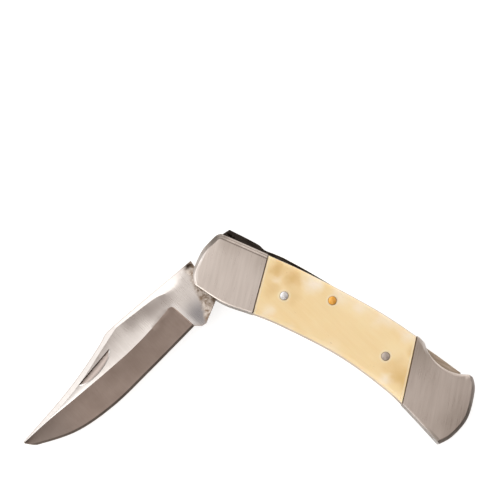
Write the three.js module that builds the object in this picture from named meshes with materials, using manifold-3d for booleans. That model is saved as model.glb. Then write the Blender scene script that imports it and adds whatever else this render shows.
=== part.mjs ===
// Folding pocket knife with a back lock: a clip-point blade between two liners, metal bolsters at
// both ends and bone scales between them. Millimetres.
// The origin is on the blade pivot, in the plane of the right bolsters' outer faces, on which the
// knife lies. +X runs along the handle to the butt, +Y to the spine and +Z out of the left side.
// The knife is partly open, and the nose of the lock bar rides on the tang.

import * as THREE from "three";
import { mergeVertices } from "three/addons/utils/BufferGeometryUtils.js";
import Module from "manifold-3d";

const wasm = await Module();
wasm.setup();

// Layers, from the right side to the left
const bolsterThickness = 3.4;
const linerThickness = 1.2;
const bladeThickness = 2.4;
const bladeSideClearance = 0.1;
const spacerSideClearance = 0.02;
const rivetHeadHeight = 0.3;
const rivetHeadClearance = 0.05; // between a right rivet's head and the plane of the bolsters

// Handle outline: heights are above the blade pivot, depths below it, insets ahead of the butt
const handleLength = 94.9;
const frontReach = 9.25;
const spineStep = 0.2; // the bolster's spine edge stands this far above the open blade's
const frontTopReach = 6.9;
const frontTopInset = 1.5; // just under the top corner
const frontTopHeight = 8;
const frontTurnHeight = 5; // half way from the crown to the top corner
const frontTurnInset = 0.6;
const frontCrownHeight = 1;
const frontJawInset = 0.9; // on the way from the crown down to the chin
const frontJawDepth = 5.4;
const frontBottomReach = 6;
const frontBottomDepth = 8.5;
const frontBellyPlace = 4;
const frontBellyDepth = 8.95;
const frontSeamDepth = 7.25;
const spineShoulder = 24;
const spineShoulderHeight = 12;
const crownPlace = 45.5;
const crownHeight = 12.65;
const rearSpineInset = 25.6;
const rearSpineHeight = 11.75;
const notchLipInset = 22.4; // the corner in front of the thumb notch
const notchLipHeight = 10.95;
const bellyFrontPlace = 22;
const bellyFrontDepth = 6.08;
const waistPlace = 37.5;
const waistDepth = 5.12;
const waistRearInset = 37.5;
const waistRearDepth = 5.45;
const bellyRearInset = 27;
const bellyRearDepth = 6.75;
const rearSeamFootInset = 19.25;
const rearSeamFootDepth = 8.38;
const hornInset = 4.7; // the butt's top corner, behind the thumb notch
const hornHeight = 9.25;
const buttShoulderInset = 2.25;
const buttShoulderHeight = 6.1;
const buttCrownDepth = 2.1;
const buttLowerInset = 1.2;
const buttLowerDepth = 9.2;
const buttFootInset = 3.5;
const buttFootDepth = 13.25;
const edgeRoundWidth = 1;
const edgeRoundHeight = 1.2;
const scaleInset = 0.2; // the liners show this far past the scales

// Thumb notch, a round bite out of the spine
const notchRadius = 13.4;
const notchInset = 13.3;
const notchFloorHeight = 7.3;

// Seams between the bolsters and the scales
const frontSeamPlace = 11.65;
const frontSeamTilt = 15;
const rearSeamInset = 21.85;
const rearSeamTilt = 17.5;
const seamGap = 0.12;

// Blade: spine heights and edge depths are from its pivot line, insets are from its tip
const tipWall = 5.25; // from the folded tip to the butt's crown
const restFold = 64.3; // angles folded from fully open
const closedFold = 168.3;
const openTilt = 6.2; // the open blade's spine follows the bolster's
const bladeSpineHeight = 9.45;
const clipLength = 40.9;
const clipRearInset = 34.4; // the clip's hollow, behind its middle, at it and ahead of it
const clipRearHeight = 7.24;
const clipMidInset = 24.4;
const clipMidHeight = 4.5;
const clipFrontInset = 14.4;
const clipFrontHeight = 2.54;
const tipHeight = 0.1;
const bladeEdgeDepth = 9.02;
const bellyInset = 28;
const edgeMidInset = 43;
const edgeMidDepth = 8.1;
const sweepInset = 14.4;
const sweepDepth = 7.63;
const tipSweepInset = 2.4;
const tipSweepDepth = 2.75;
const choilPlace = 18;
const choilDepth = 6.4;
const plungePlace = 19.9;
const plungeHeight = 2.95;
const plungeLean = 1.9;
const grindPlace = 41;
const grindHeight = 0.25;
const grindFrontInset = 20;
const grindFrontHeight = 0.1;
const tipHalfHeight = 0.35;
const spineBevelStart = 10;
const spineBevelWidth = 1.7;
const spineFlatWidth = 1.4;
const edgeThickness = 0.12;
const edgeShoulderThickness = 0.6;
const edgeBevelWidth = 0.7;
const tipTaperLength = 16;
const tipThickness = 0.9;
const mostSpineBevel = 0.45; // largest share of the flat that the spine bevel takes near the tip
const mostEdgeBevel = 0.3;
const mostShoulder = 0.8;

// Tang
const tangRadius = 7.05;
const shoulderSetback = 7.05; // from the pivot to the stop face, with the blade open
const lockNotchFloor = 4.2;
const lockNotchRear = 2.3;
const kickReach = 14.8;
const kickDepth = 8.1;
const kickFrontReach = 16.3;
const kickFrontDepth = 7.9;
const heelReach = 8.3;
const heelDepth = 4.8;

// Nail nick, on the left face
const nickInset = 31.1;
const nickHeight = 2.7;
const nickLength = 14.3;
const nickWidth = 2.5;
const nickDepth = 0.55;
const nickTilt = 9.5;

// Lock bar, drawn locked and then lifted
const lockPinPlace = 32.6;
const lockPinHeight = 8.15;
const restLift = 3.8;
const noseTopReach = 5.6;
const noseFrontReach = 6.74;
const noseFrontHeight = 6.38;
const hookFootReach = 5.75;
const hookFootHeight = 4.3;
const hookRearReach = 2.6;
const noseClearance = 0.25; // from the bar to the tang behind the hook
const noseLength = 9.9; // from the nose to the start of the dip in the bar's top
const noseDipLength = 5.2;
const noseDipDepth = 0.6;
const lockBarDrop = 0.05; // the bar's top below the handle's spine when it is locked
const lockBossRadius = 2.85;
const bossNeckLength = 9;
const rearArmNeckLength = 11;
const thumbEndInset = 8.5;
const thumbPadInset = 21.6; // the thumb pad stands up from here on, in the notch
const thumbPadHeight = 12.3;
const thumbEndHeight = 11.85;
const thumbEndThickness = 4.05;
const rearArmThickness = 4.6;
const thumbTravel = 2.5;

// Rear spacer and leaf spring
const spacerLength = 19.2;
const thumbClearance = 0.3; // from the pressed thumb end to the spacer under it
const hornClearance = 0.8; // from the thumb end to the spacer behind it
const bladeClearance = 0.5;
const springThickness = 0.6;
const springTipReach = 15.4; // from the lock pin
const springSlotDepth = 4;
const springSlotHeight = 2.3;
const springClearance = 0.1;

// Pins and rivets
const pivotPinRadius = 1.5;
const lockPinRadius = 1.2;
const scaleRivetRadius = 1.2;
const headOverhang = 0.12;
const rearPinRadius = 0.8;
const bolsterRivetRadius = 0.7;
const pinClearance = 0.05;
const turningClearance = 0.12;
const pinCover = 0.6; // metal left over the end of a blind pin
const frontRivetInset = 8.1;
const frontRivetHeight = 2.1;
const rearRivetInset = 8.4;
const rearRivetHeight = 1.55;
const upperRearPinInset = 4.6;
const upperRearPinHeight = 4.4;
const lowerRearPinInset = 13.2;
const lowerRearPinHeight = 0.3;
const bolsterRivetReach = 5.2;
const bolsterRivetRise = 4.6;

// Fineness of round surfaces
const pinSides = 20;
const notchSides = 56;
const roundSteps = 4;
const outlineStep = 1.8;
const frontStep = 1.4;
const bladeStep = 2.2;

// Planes between the layers
const rightLinerZ = bolsterThickness;
const slotZ = rightLinerZ + linerThickness;
const slotWidth = bladeThickness + 2 * bladeSideClearance;
const leftLinerZ = slotZ + slotWidth;
const leftScaleZ = leftLinerZ + linerThickness;
const leftFaceZ = leftScaleZ + bolsterThickness;
const middleZ = slotZ + slotWidth / 2;
const scaleThickness = bolsterThickness - rivetHeadHeight - rivetHeadClearance;

// Places that follow from the sizes
const radians = THREE.MathUtils.degToRad;
const buttReach = handleLength - frontReach;
const bladeReach = buttReach - tipWall;
const bladeTurn = radians(openTilt + restFold);
const closedTurn = radians(openTilt + closedFold);
const lift = radians(restLift);
const lockPin = new THREE.Vector2(lockPinPlace, lockPinHeight);
const notchCentre = new THREE.Vector2(buttReach - notchInset, notchFloorHeight + notchRadius);
const reach = 4 * handleLength; // longer than any piece, for cutting blocks

const looks = {
  blade: { color: "#a09488", roughness: 0.3, metalness: 1 },
  bolster: { color: "#c4b8ae", roughness: 0.35, metalness: 1 },
  liner: { color: "#b9a089", roughness: 0.4, metalness: 1 },
  scale: { color: "#f0d6a3", roughness: 0.45, metalness: 0 },
  lockBar: { color: "#2b2620", roughness: 0.4, metalness: 1 },
  plainSteel: { color: "#9c978f", roughness: 0.4, metalness: 1 },
  brass: { color: "#e8a046", roughness: 0.3, metalness: 1 },
};

function at(x, y) {
  return new THREE.Vector2(x, y);
}

function turned(point, angle, centre = at(0, 0)) {
  return point.clone().rotateAround(centre, angle);
}

// Evenly spaced points along a smooth curve through the given points
function smooth(points, step = outlineStep) {
  const curve = new THREE.SplineCurve(points);
  return curve.getSpacedPoints(Math.max(2, Math.round(curve.getLength() / step)));
}

// The height of a line of points at a given x, where the points run along x
function heightAlong(line, x) {
  const forward = line[line.length - 1].x > line[0].x ? 1 : -1;
  const found = line.findIndex((point) => forward * point.x >= forward * x);
  const next = found < 0 ? line.length - 1 : Math.max(1, found);
  const [before, after] = [line[next - 1], line[next]];
  return before.y + ((after.y - before.y) * (x - before.x)) / (after.x - before.x);
}

function arc(centre, radius, from, to, steps) {
  const points = [];
  for (let step = 0; step <= steps; step++) {
    const angle = from + ((to - from) * step) / steps;
    points.push(at(centre.x + radius * Math.cos(angle), centre.y + radius * Math.sin(angle)));
  }
  return points;
}

// A closed mesh as a solid that can be cut and joined
function solidOf(geometry) {
  const plain = geometry.clone();
  plain.deleteAttribute("normal");
  plain.deleteAttribute("uv");
  const merged = mergeVertices(plain, 1e-4);
  const vertProperties = new Float32Array(merged.attributes.position.array);
  const triVerts = new Uint32Array(merged.index.array);
  return new wasm.Manifold(new wasm.Mesh({ numProp: 3, vertProperties, triVerts }));
}

function geometryOf(solid) {
  const mesh = solid.getMesh();
  const geometry = new THREE.BufferGeometry();
  geometry.setAttribute("position", new THREE.BufferAttribute(mesh.vertProperties, 3));
  geometry.setIndex(new THREE.BufferAttribute(mesh.triVerts, 1));
  const faceted = geometry.toNonIndexed();
  faceted.computeVertexNormals();
  return faceted;
}

// An outline raised from one plane to another
function slab(points, bottom, top) {
  const shape = new THREE.Shape(points);
  const geometry = new THREE.ExtrudeGeometry(shape, { depth: top - bottom, bevelEnabled: false });
  return solidOf(geometry.translate(0, 0, bottom));
}

function bore(place, radius, bottom = -reach, top = reach, sides = pinSides) {
  const geometry = new THREE.CylinderGeometry(radius, radius, top - bottom, sides);
  return solidOf(geometry.rotateX(Math.PI / 2).translate(place.x, place.y, (bottom + top) / 2));
}

// Cross-sections with as many points each, joined along the way and closed at both ends
function loft(sections) {
  const count = sections[0].length;
  const last = (sections.length - 1) * count;
  const index = [];
  for (let row = 0; row < last; row += count) {
    for (let side = 0; side < count; side++) {
      const next = (side + 1) % count;
      index.push(row + side, row + count + next, row + next);
      index.push(row + side, row + count + side, row + count + next);
    }
  }
  for (let side = 1; side < count - 1; side++) {
    index.push(0, side, side + 1);
    index.push(last, last + side + 1, last + side);
  }
  const geometry = new THREE.BufferGeometry();
  const places = sections.flat().flatMap((point) => point.toArray());
  geometry.setAttribute("position", new THREE.Float32BufferAttribute(places, 3));
  geometry.setIndex(index);
  return solidOf(geometry);
}

// The spine line of the front bolster, which the open blade's spine continues
function frontSpineHeight(x) {
  const tilt = radians(openTilt);
  return (bladeSpineHeight + spineStep) / Math.cos(tilt) + x * Math.tan(tilt);
}

// Where a seam lies at a given height
function frontSeam(height) {
  return frontSeamPlace - height * Math.tan(radians(frontSeamTilt));
}

function rearSeam(height) {
  return buttReach - rearSeamInset - height * Math.tan(radians(rearSeamTilt));
}

function spineCorners() {
  const seamTop = frontSeam(frontSpineHeight(frontSeamPlace));
  return [
    at(-frontTopReach, frontSpineHeight(-frontTopReach)),
    at(seamTop, frontSpineHeight(seamTop)),
    at(spineShoulder, spineShoulderHeight),
    at(crownPlace, crownHeight),
    at(buttReach - rearSpineInset, rearSpineHeight),
    at(buttReach - notchLipInset, notchLipHeight),
    at(buttReach - hornInset, hornHeight),
  ];
}

// The handle's outline, with the thumb notch still full
function handleOutline() {
  const spine = spineCorners();
  const foot = at(buttReach - buttFootInset, -buttFootDepth);
  const butt = [
    spine[spine.length - 1],
    at(buttReach - buttShoulderInset, buttShoulderHeight),
    at(buttReach, -buttCrownDepth),
    at(buttReach - buttLowerInset, -buttLowerDepth),
    foot,
  ];
  const chin = at(-frontBottomReach, -frontBottomDepth);
  const bottom = [
    foot,
    at(buttReach - rearSeamFootInset, -rearSeamFootDepth),
    at(buttReach - bellyRearInset, -bellyRearDepth),
    at(buttReach - waistRearInset, -waistRearDepth),
    at(waistPlace, -waistDepth),
    at(bellyFrontPlace, -bellyFrontDepth),
    at(frontSeam(-frontSeamDepth), -frontSeamDepth),
    at(frontBellyPlace, -frontBellyDepth),
    chin,
  ];
  const front = [
    chin,
    at(-frontReach + frontJawInset, -frontJawDepth),
    at(-frontReach, frontCrownHeight),
    at(-frontReach + frontTurnInset, frontTurnHeight),
    at(-frontReach + frontTopInset, frontTopHeight),
    spine[0],
  ];
  const lines = [smooth(spine), smooth(butt), smooth(bottom), smooth(front, frontStep)];
  return lines.flatMap((line) => line.slice(1)).reverse();
}

const outline = handleOutline();
const thumbNotch = bore(notchCentre, notchRadius, -reach, reach, notchSides);

// The part of a layer between two seams, each seam given by its place at any height
function between(from, to) {
  const points = [at(from(-reach), -reach), at(to(-reach), -reach), at(to(reach), reach)];
  return slab([...points, at(from(reach), reach)], -reach, reach);
}

const zones = {
  front: between(() => -reach, (height) => frontSeam(height) - seamGap / 2),
  middle: between((height) => frontSeam(height) + seamGap / 2, (height) => rearSeam(height) - seamGap / 2),
  rear: between((height) => rearSeam(height) + seamGap / 2, () => 2 * reach),
};

// One side of the handle with a rounded outer rim, standing on the given plane
function roundedSide(thickness, inset, plane, outwards) {
  const geometry = new THREE.ExtrudeGeometry(new THREE.Shape(outline), {
    depth: 2 * (thickness - edgeRoundHeight),
    bevelThickness: edgeRoundHeight,
    bevelSize: edgeRoundWidth,
    bevelOffset: -edgeRoundWidth - inset,
    bevelSegments: roundSteps,
  });
  const whole = solidOf(geometry.translate(0, 0, plane - thickness + edgeRoundHeight));
  const inner = new THREE.BoxGeometry(reach, reach, reach);
  return whole.subtract(solidOf(inner.translate(0, 0, plane - (outwards * reach) / 2)));
}

const pivot = at(0, 0);
const frontRivet = at(frontSeam(frontRivetHeight) + frontRivetInset, frontRivetHeight);
const rearRivet = at(rearSeam(rearRivetHeight) - rearRivetInset, rearRivetHeight);
const upperRearPin = at(buttReach - upperRearPinInset, upperRearPinHeight);
const lowerRearPin = at(buttReach - lowerRearPinInset, lowerRearPinHeight);
const bolsterRivets = [at(bolsterRivetReach, bolsterRivetRise), at(bolsterRivetReach, -bolsterRivetRise)];

// The outer face plane, the liner's outer and inner planes and the outward direction of each side
const sides = {
  left: { face: leftFaceZ, seat: leftScaleZ, inner: leftLinerZ, outwards: 1 },
  right: { face: 0, seat: rightLinerZ, inner: slotZ, outwards: -1 },
};

// A bore from the slot outwards that stops under the outer face
function blindBore(place, radius, side) {
  const end = side.face - side.outwards * pinCover;
  const start = middleZ;
  return bore(place, radius, Math.min(start, end), Math.max(start, end));
}

function cutAll(solid, cutters) {
  return cutters.reduce((left, cutter) => left.subtract(cutter), solid);
}

function frontBolster(side) {
  const blank = roundedSide(bolsterThickness, 0, side.seat, side.outwards).intersect(zones.front);
  const rivetBores = bolsterRivets.map((place) => blindBore(place, bolsterRivetRadius + pinClearance, side));
  return cutAll(blank, [blindBore(pivot, pivotPinRadius + pinClearance, side), ...rivetBores]);
}

function rearBolster(side) {
  const blank = roundedSide(bolsterThickness, 0, side.seat, side.outwards).intersect(zones.rear);
  const places = [upperRearPin, lowerRearPin];
  const pinBores = places.map((place) => blindBore(place, rearPinRadius + pinClearance, side));
  return cutAll(blank, [thumbNotch, ...pinBores]);
}

function scale(side) {
  const blank = roundedSide(scaleThickness, scaleInset, side.seat, side.outwards).intersect(zones.middle);
  return cutAll(blank, [
    bore(lockPin, lockPinRadius + pinClearance),
    bore(frontRivet, scaleRivetRadius + pinClearance),
    bore(rearRivet, scaleRivetRadius + pinClearance),
  ]);
}

function liner(side) {
  const plate = slab(outline, Math.min(side.seat, side.inner), Math.max(side.seat, side.inner));
  return cutAll(plate, [
    thumbNotch,
    bore(pivot, pivotPinRadius + pinClearance),
    bore(lockPin, lockPinRadius + pinClearance),
    bore(frontRivet, scaleRivetRadius + pinClearance),
    bore(rearRivet, scaleRivetRadius + pinClearance),
    bore(upperRearPin, rearPinRadius + pinClearance),
    bore(lowerRearPin, rearPinRadius + pinClearance),
    ...bolsterRivets.map((place) => bore(place, bolsterRivetRadius + pinClearance)),
  ]);
}

// The blade points along -X from its pivot with its spine up, and turns into place
const clipLine = smooth(
  [
    at(-(bladeReach - clipLength), bladeSpineHeight),
    at(-(bladeReach - clipRearInset), clipRearHeight),
    at(-(bladeReach - clipMidInset), clipMidHeight),
    at(-(bladeReach - clipFrontInset), clipFrontHeight),
    at(-bladeReach, tipHeight + tipHalfHeight),
  ],
  bladeStep / 2,
);

function bladeSpine(x) {
  return heightAlong(clipLine, Math.min(x, clipLine[0].x));
}

const bladeEdge = smooth(
  [
    at(-choilPlace, -choilDepth),
    at(-(bladeReach - edgeMidInset), -edgeMidDepth),
    at(-(bladeReach - bellyInset), -bladeEdgeDepth),
    at(-(bladeReach - sweepInset), -sweepDepth),
    at(-(bladeReach - tipSweepInset), -tipSweepDepth),
    at(-bladeReach, tipHeight - tipHalfHeight),
  ],
  bladeStep / 2,
);

const grindLine = smooth(
  [
    at(-plungePlace, plungeHeight),
    at(-grindPlace, grindHeight),
    at(-(bladeReach - grindFrontInset), grindFrontHeight),
    at(-bladeReach, tipHeight),
  ],
  bladeStep / 2,
);

// One cross-section of the ground blade: spine bevel, flat, ground face and edge bevel
function bladeSection(x) {
  const taper = Math.min(1, (bladeReach + x) / tipTaperLength);
  const thickness = tipThickness + (bladeThickness - tipThickness) * taper;
  const top = bladeSpine(x);
  const ground = heightAlong(grindLine, Math.min(x, -plungePlace));
  const edge = x > -choilPlace ? -heelDepth : heightAlong(bladeEdge, x);
  const bevelFoot = top - Math.min(spineBevelWidth, (top - ground) * mostSpineBevel);
  const shoulder = edge + Math.min(edgeBevelWidth, (ground - edge) * mostEdgeBevel);
  const half = [
    [top, (thickness * spineFlatWidth) / bladeThickness / 2],
    [bevelFoot, thickness / 2],
    [ground, thickness / 2],
    [shoulder, Math.min(edgeShoulderThickness, thickness * mostShoulder) / 2],
    [edge, edgeThickness / 2],
  ];
  const far = half.map(([y, z]) => new THREE.Vector3(x, y, z));
  const near = half.map(([y, z]) => new THREE.Vector3(x, y, -z)).reverse();
  return [...far, ...near];
}

function groundBlade() {
  const count = Math.round((bladeReach - spineBevelStart) / bladeStep);
  const places = Array.from({ length: count + 1 }, (unused, step) => {
    return -spineBevelStart - ((bladeReach - spineBevelStart) * step) / count;
  });
  const corners = [-choilPlace, -(bladeReach - clipLength), -(bladeReach - tipTaperLength)];
  const all = [...places, ...corners].sort((a, b) => b - a);
  return loft(all.map(bladeSection));
}

// The tang, with the notch that the lock bar's hook drops into when the blade is open
function tang() {
  const unturn = (point) => turned(point, -radians(openTilt));
  const toothTop = Math.sqrt(tangRadius ** 2 - lockNotchRear ** 2);
  const tooth = unturn(at(-lockNotchRear, toothTop));
  const heel = at(-heelReach, -heelDepth);
  const tilt = radians(openTilt);
  const spineCorner = (bladeSpineHeight * Math.sin(tilt) - shoulderSetback) / Math.cos(tilt);
  const cam = arc(pivot, tangRadius, tooth.angle(), heel.angle() - 2 * Math.PI, 24);
  const underBevel = bladeSpineHeight - spineBevelWidth;
  return slab(
    [
      at(spineCorner, bladeSpineHeight),
      unturn(at(-shoulderSetback, lockNotchFloor)),
      unturn(at(-lockNotchRear, lockNotchFloor)),
      ...cam,
      heel,
      at(-kickReach, -kickDepth),
      at(-kickFrontReach, -kickFrontDepth),
      at(-choilPlace, -choilDepth),
      at(-plungePlace + plungeLean, -choilDepth),
      at(-plungePlace, plungeHeight),
      at(-plungePlace, underBevel),
      at(-spineBevelStart, underBevel),
      at(-spineBevelStart, bladeSpineHeight),
    ].reverse(),
    -bladeThickness / 2,
    bladeThickness / 2,
  );
}

// A crescent that is deepest along its straight side, towards the spine
function nailNick() {
  const lower = arc(pivot, nickWidth, Math.PI, 2 * Math.PI, 12);
  const crescent = lower.map((point) => at((point.x / nickWidth) * (nickLength / 2), point.y + nickWidth));
  const settings = { depth: nickWidth, bevelEnabled: false };
  const cutter = new THREE.ExtrudeGeometry(new THREE.Shape(crescent), settings);
  cutter.rotateX(-Math.atan(nickDepth / nickWidth)).translate(0, -nickWidth / 2, 0);
  cutter.rotateZ(radians(nickTilt));
  return solidOf(cutter.translate(-(bladeReach - nickInset), nickHeight, bladeThickness / 2));
}

function blade() {
  return cutAll(groundBlade().add(tang()), [bore(pivot, pivotPinRadius + turningClearance), nailNick()]);
}

// The lock bar's outline in its locked place, with its top just under the handle's spine
const spineLine = smooth(spineCorners());

function lockBarTop(x) {
  return heightAlong(spineLine, x) - lockBarDrop;
}

function rearArmUnderside() {
  const neck = lockPin.x + rearArmNeckLength;
  const thumbEnd = buttReach - thumbEndInset;
  return [
    at(neck, lockBarTop(neck) - rearArmThickness),
    at(buttReach - rearSeamInset, lockBarTop(buttReach - rearSeamInset) - rearArmThickness),
    at(thumbEnd, thumbEndHeight - thumbEndThickness),
  ];
}

function lockBarOutline() {
  const dipFront = noseLength - noseTopReach;
  const dipRear = dipFront + noseDipLength;
  const underside = tangRadius + noseClearance;
  const barTopEnd = rearSeam(rearSpineHeight);
  const barTop = spineLine.filter((point) => point.x > dipRear + outlineStep && point.x < barTopEnd);
  const boss = arc(lockPin, lockBossRadius, radians(215), radians(325), 8);
  return [
    at(-noseFrontReach, noseFrontHeight),
    at(-hookFootReach, hookFootHeight),
    at(-hookRearReach, hookFootHeight),
    at(-hookRearReach, underside),
    at(lockPin.x - bossNeckLength, underside),
    ...boss,
    ...rearArmUnderside(),
    at(buttReach - thumbEndInset, thumbEndHeight),
    at(buttReach - thumbPadInset, thumbPadHeight),
    ...barTop.map((point) => at(point.x, point.y - lockBarDrop)).reverse(),
    at(dipRear, lockBarTop(dipRear) - noseDipDepth / 2),
    at((dipFront + dipRear) / 2, lockBarTop((dipFront + dipRear) / 2) - noseDipDepth),
    at(dipFront, lockBarTop(dipFront)),
    at(-noseTopReach, lockBarTop(-noseTopReach)),
  ];
}

function lockBar() {
  const centred = lockBarOutline().map((point) => point.clone().sub(lockPin));
  const plate = slab(centred, -bladeThickness / 2, bladeThickness / 2);
  return plate.subtract(bore(pivot, lockPinRadius + turningClearance));
}

// Room for the folded blade and for its tip on the way there
function bladeRoom() {
  const folded = bladeEdge.map((point) => turned(point, closedTurn).add(at(0, bladeClearance)));
  const tip = folded[folded.length - 1];
  const sweep = arc(pivot, bladeReach + bladeClearance, tip.angle() - 2 * Math.PI, -Math.PI / 4, 16);
  return slab([...folded, ...sweep, at(0, -reach)].reverse(), -reach, reach);
}

// Room for the lock bar's rear arm when the thumb end is pressed all the way
function rearArmRoom() {
  const pressed = -lift - radians(thumbTravel);
  const underside = rearArmUnderside().map((point) => turned(point, pressed, lockPin));
  const floor = underside.map((point) => at(point.x, point.y - thumbClearance));
  const end = turned(at(buttReach - thumbEndInset, thumbEndHeight), -lift, lockPin).x + hornClearance;
  return slab([...floor, at(end, floor[floor.length - 1].y), at(end, reach), at(0, reach)], -reach, reach);
}

const springSlot = {
  front: buttReach - spacerLength,
  rear: buttReach - spacerLength + springSlotDepth,
};

function rearSpacer() {
  const bottom = slotZ + spacerSideClearance;
  const plate = slab(outline, bottom, slotZ + slotWidth - spacerSideClearance);
  const behind = between(() => springSlot.front, () => 2 * reach);
  const halfSlot = springThickness / 2 + springClearance;
  const slot = [
    at(0, springSlotHeight - halfSlot),
    at(springSlot.rear, springSlotHeight - halfSlot),
    at(springSlot.rear, springSlotHeight + halfSlot),
    at(0, springSlotHeight + halfSlot),
  ];
  return cutAll(plate.intersect(behind), [
    thumbNotch,
    bladeRoom(),
    rearArmRoom(),
    slab(slot, -reach, reach),
    bore(upperRearPin, rearPinRadius + pinClearance),
    bore(lowerRearPin, rearPinRadius + pinClearance),
  ]);
}

// A flat leaf in the spacer's slot that bends up to press under the lock bar's rear arm
function lockSpring() {
  const tipPlace = lockPin.x + springTipReach;
  const underside = rearArmUnderside().map((point) => turned(point, -lift, lockPin));
  const under = (x) => heightAlong(underside, x) - springThickness / 2 - springClearance;
  const tip = at(tipPlace, under(tipPlace));
  const span = springSlot.front - tip.x;
  const knee = tip.x + span / 2;
  const bend = new THREE.CubicBezierCurve(
    at(springSlot.front, springSlotHeight),
    at(springSlot.front - span / 5, springSlotHeight),
    at(knee, Math.min(tip.y - (tip.y - springSlotHeight) / 4, under(knee) - springClearance)),
    tip,
  ).getPoints(12);
  const leaf = [at(springSlot.rear - springClearance, springSlotHeight), ...bend];
  const edge = (offset) => leaf.map((point, place) => {
    const before = leaf[Math.max(0, place - 1)];
    const after = leaf[Math.min(leaf.length - 1, place + 1)];
    const across = after.clone().sub(before).normalize().rotateAround(pivot, Math.PI / 2);
    return point.clone().addScaledVector(across, offset);
  });
  const halfWidth = bladeThickness / 2;
  const points = [...edge(springThickness / 2), ...edge(-springThickness / 2).reverse()];
  return slab(points, middleZ - halfWidth, middleZ + halfWidth);
}

// A dome profile from its rim up to the axis
function dome(radius, seat) {
  return arc(pivot, 1, 0, Math.PI / 2, roundSteps).map((point) => {
    return at(Math.max(0, radius * point.x), seat + rivetHeadHeight * point.y);
  });
}

function turnedPiece(profile, place, outwards) {
  const geometry = new THREE.LatheGeometry(profile, pinSides);
  return solidOf(geometry.rotateX((outwards * Math.PI) / 2).translate(place.x, place.y, 0));
}

// A short rivet through one scale and its liner, with a low domed head
function scaleRivet(place, side) {
  const tail = side.outwards * side.inner;
  const seat = side.outwards * side.seat + scaleThickness;
  const profile = [at(0, tail), at(scaleRivetRadius, tail), at(scaleRivetRadius, seat)];
  return turnedPiece([...profile, ...dome(scaleRivetRadius + headOverhang, seat)], place, side.outwards);
}

// The lock pin runs right through, with a domed head on each scale
function lockPivotPin() {
  const top = sides.left.seat + scaleThickness;
  const bottom = sides.right.seat - scaleThickness;
  const upper = dome(lockPinRadius + headOverhang, top);
  const lower = dome(lockPinRadius + headOverhang, -bottom).map((point) => at(point.x, -point.y)).reverse();
  const shank = [at(lockPinRadius, bottom), at(lockPinRadius, top)];
  return turnedPiece([...lower, ...shank, ...upper], lockPin, 1);
}

// A pin through both sides that stops under the outer faces
function throughPin(place, radius) {
  return bore(place, radius, sides.right.face + pinCover, sides.left.face - pinCover);
}

function bolsterRivet(place, side) {
  const end = side.face - side.outwards * pinCover;
  return bore(place, bolsterRivetRadius, Math.min(side.inner, end), Math.max(side.inner, end));
}

function piece(name, solid, look) {
  const mesh = new THREE.Mesh(geometryOf(solid), new THREE.MeshStandardMaterial(look));
  mesh.name = name;
  return mesh;
}

const handle = new THREE.Group();
for (const [name, side] of Object.entries(sides)) {
  handle.add(piece(`${name}_liner`, liner(side), looks.liner));
  handle.add(piece(`${name}_front_bolster`, frontBolster(side), looks.bolster));
  handle.add(piece(`${name}_rear_bolster`, rearBolster(side), looks.bolster));
  handle.add(piece(`${name}_scale`, scale(side), looks.scale));
  handle.add(piece(`${name}_front_scale_rivet`, scaleRivet(frontRivet, side), looks.plainSteel));
  handle.add(piece(`${name}_rear_scale_rivet`, scaleRivet(rearRivet, side), looks.plainSteel));
  bolsterRivets.forEach((place, count) => {
    handle.add(piece(`${name}_bolster_rivet_${count + 1}`, bolsterRivet(place, side), looks.plainSteel));
  });
}
handle.add(piece("rear_spacer", rearSpacer(), looks.plainSteel));
handle.add(piece("lock_spring", lockSpring(), looks.plainSteel));
handle.add(piece("blade_pivot_pin", throughPin(pivot, pivotPinRadius), looks.plainSteel));
handle.add(piece("lock_pivot_pin", lockPivotPin(), looks.brass));
handle.add(piece("rear_bolster_pin_upper", throughPin(upperRearPin, rearPinRadius), looks.plainSteel));
handle.add(piece("rear_bolster_pin_lower", throughPin(lowerRearPin, rearPinRadius), looks.plainSteel));

const foldingBlade = new THREE.Group();
foldingBlade.position.z = middleZ;
foldingBlade.rotation.z = bladeTurn;
foldingBlade.add(piece("blade", blade(), looks.blade));

const rockingBar = new THREE.Group();
rockingBar.position.set(lockPin.x, lockPin.y, middleZ);
rockingBar.rotation.z = -lift;
rockingBar.add(piece("lock_bar", lockBar(), looks.lockBar));

const knife = new THREE.Group();
knife.add(handle, foldingBlade, rockingBar);

export default knife;
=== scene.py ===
import math

import bmesh
import bpy
import numpy as np
from mathutils import Matrix, Vector
from mathutils.geometry import delaunay_2d_cdt


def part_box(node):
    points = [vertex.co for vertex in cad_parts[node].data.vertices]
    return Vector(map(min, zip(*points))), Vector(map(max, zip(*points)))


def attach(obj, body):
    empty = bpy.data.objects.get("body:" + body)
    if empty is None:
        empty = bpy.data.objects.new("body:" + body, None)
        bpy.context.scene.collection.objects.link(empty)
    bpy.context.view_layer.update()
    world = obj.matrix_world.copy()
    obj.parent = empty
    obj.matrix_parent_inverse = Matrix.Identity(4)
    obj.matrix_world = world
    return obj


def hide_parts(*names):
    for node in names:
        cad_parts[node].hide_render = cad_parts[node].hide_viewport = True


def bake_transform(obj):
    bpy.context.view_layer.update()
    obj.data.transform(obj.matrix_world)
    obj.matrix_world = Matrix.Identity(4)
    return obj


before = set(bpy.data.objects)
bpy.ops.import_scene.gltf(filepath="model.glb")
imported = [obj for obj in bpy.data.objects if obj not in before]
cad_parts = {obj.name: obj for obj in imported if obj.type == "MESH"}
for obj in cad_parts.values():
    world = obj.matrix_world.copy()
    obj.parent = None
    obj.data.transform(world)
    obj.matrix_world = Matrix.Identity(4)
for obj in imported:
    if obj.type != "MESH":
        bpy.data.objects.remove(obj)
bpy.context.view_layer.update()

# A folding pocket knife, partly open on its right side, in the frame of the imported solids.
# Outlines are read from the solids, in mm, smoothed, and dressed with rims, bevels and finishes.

MM = 0.001

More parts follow.
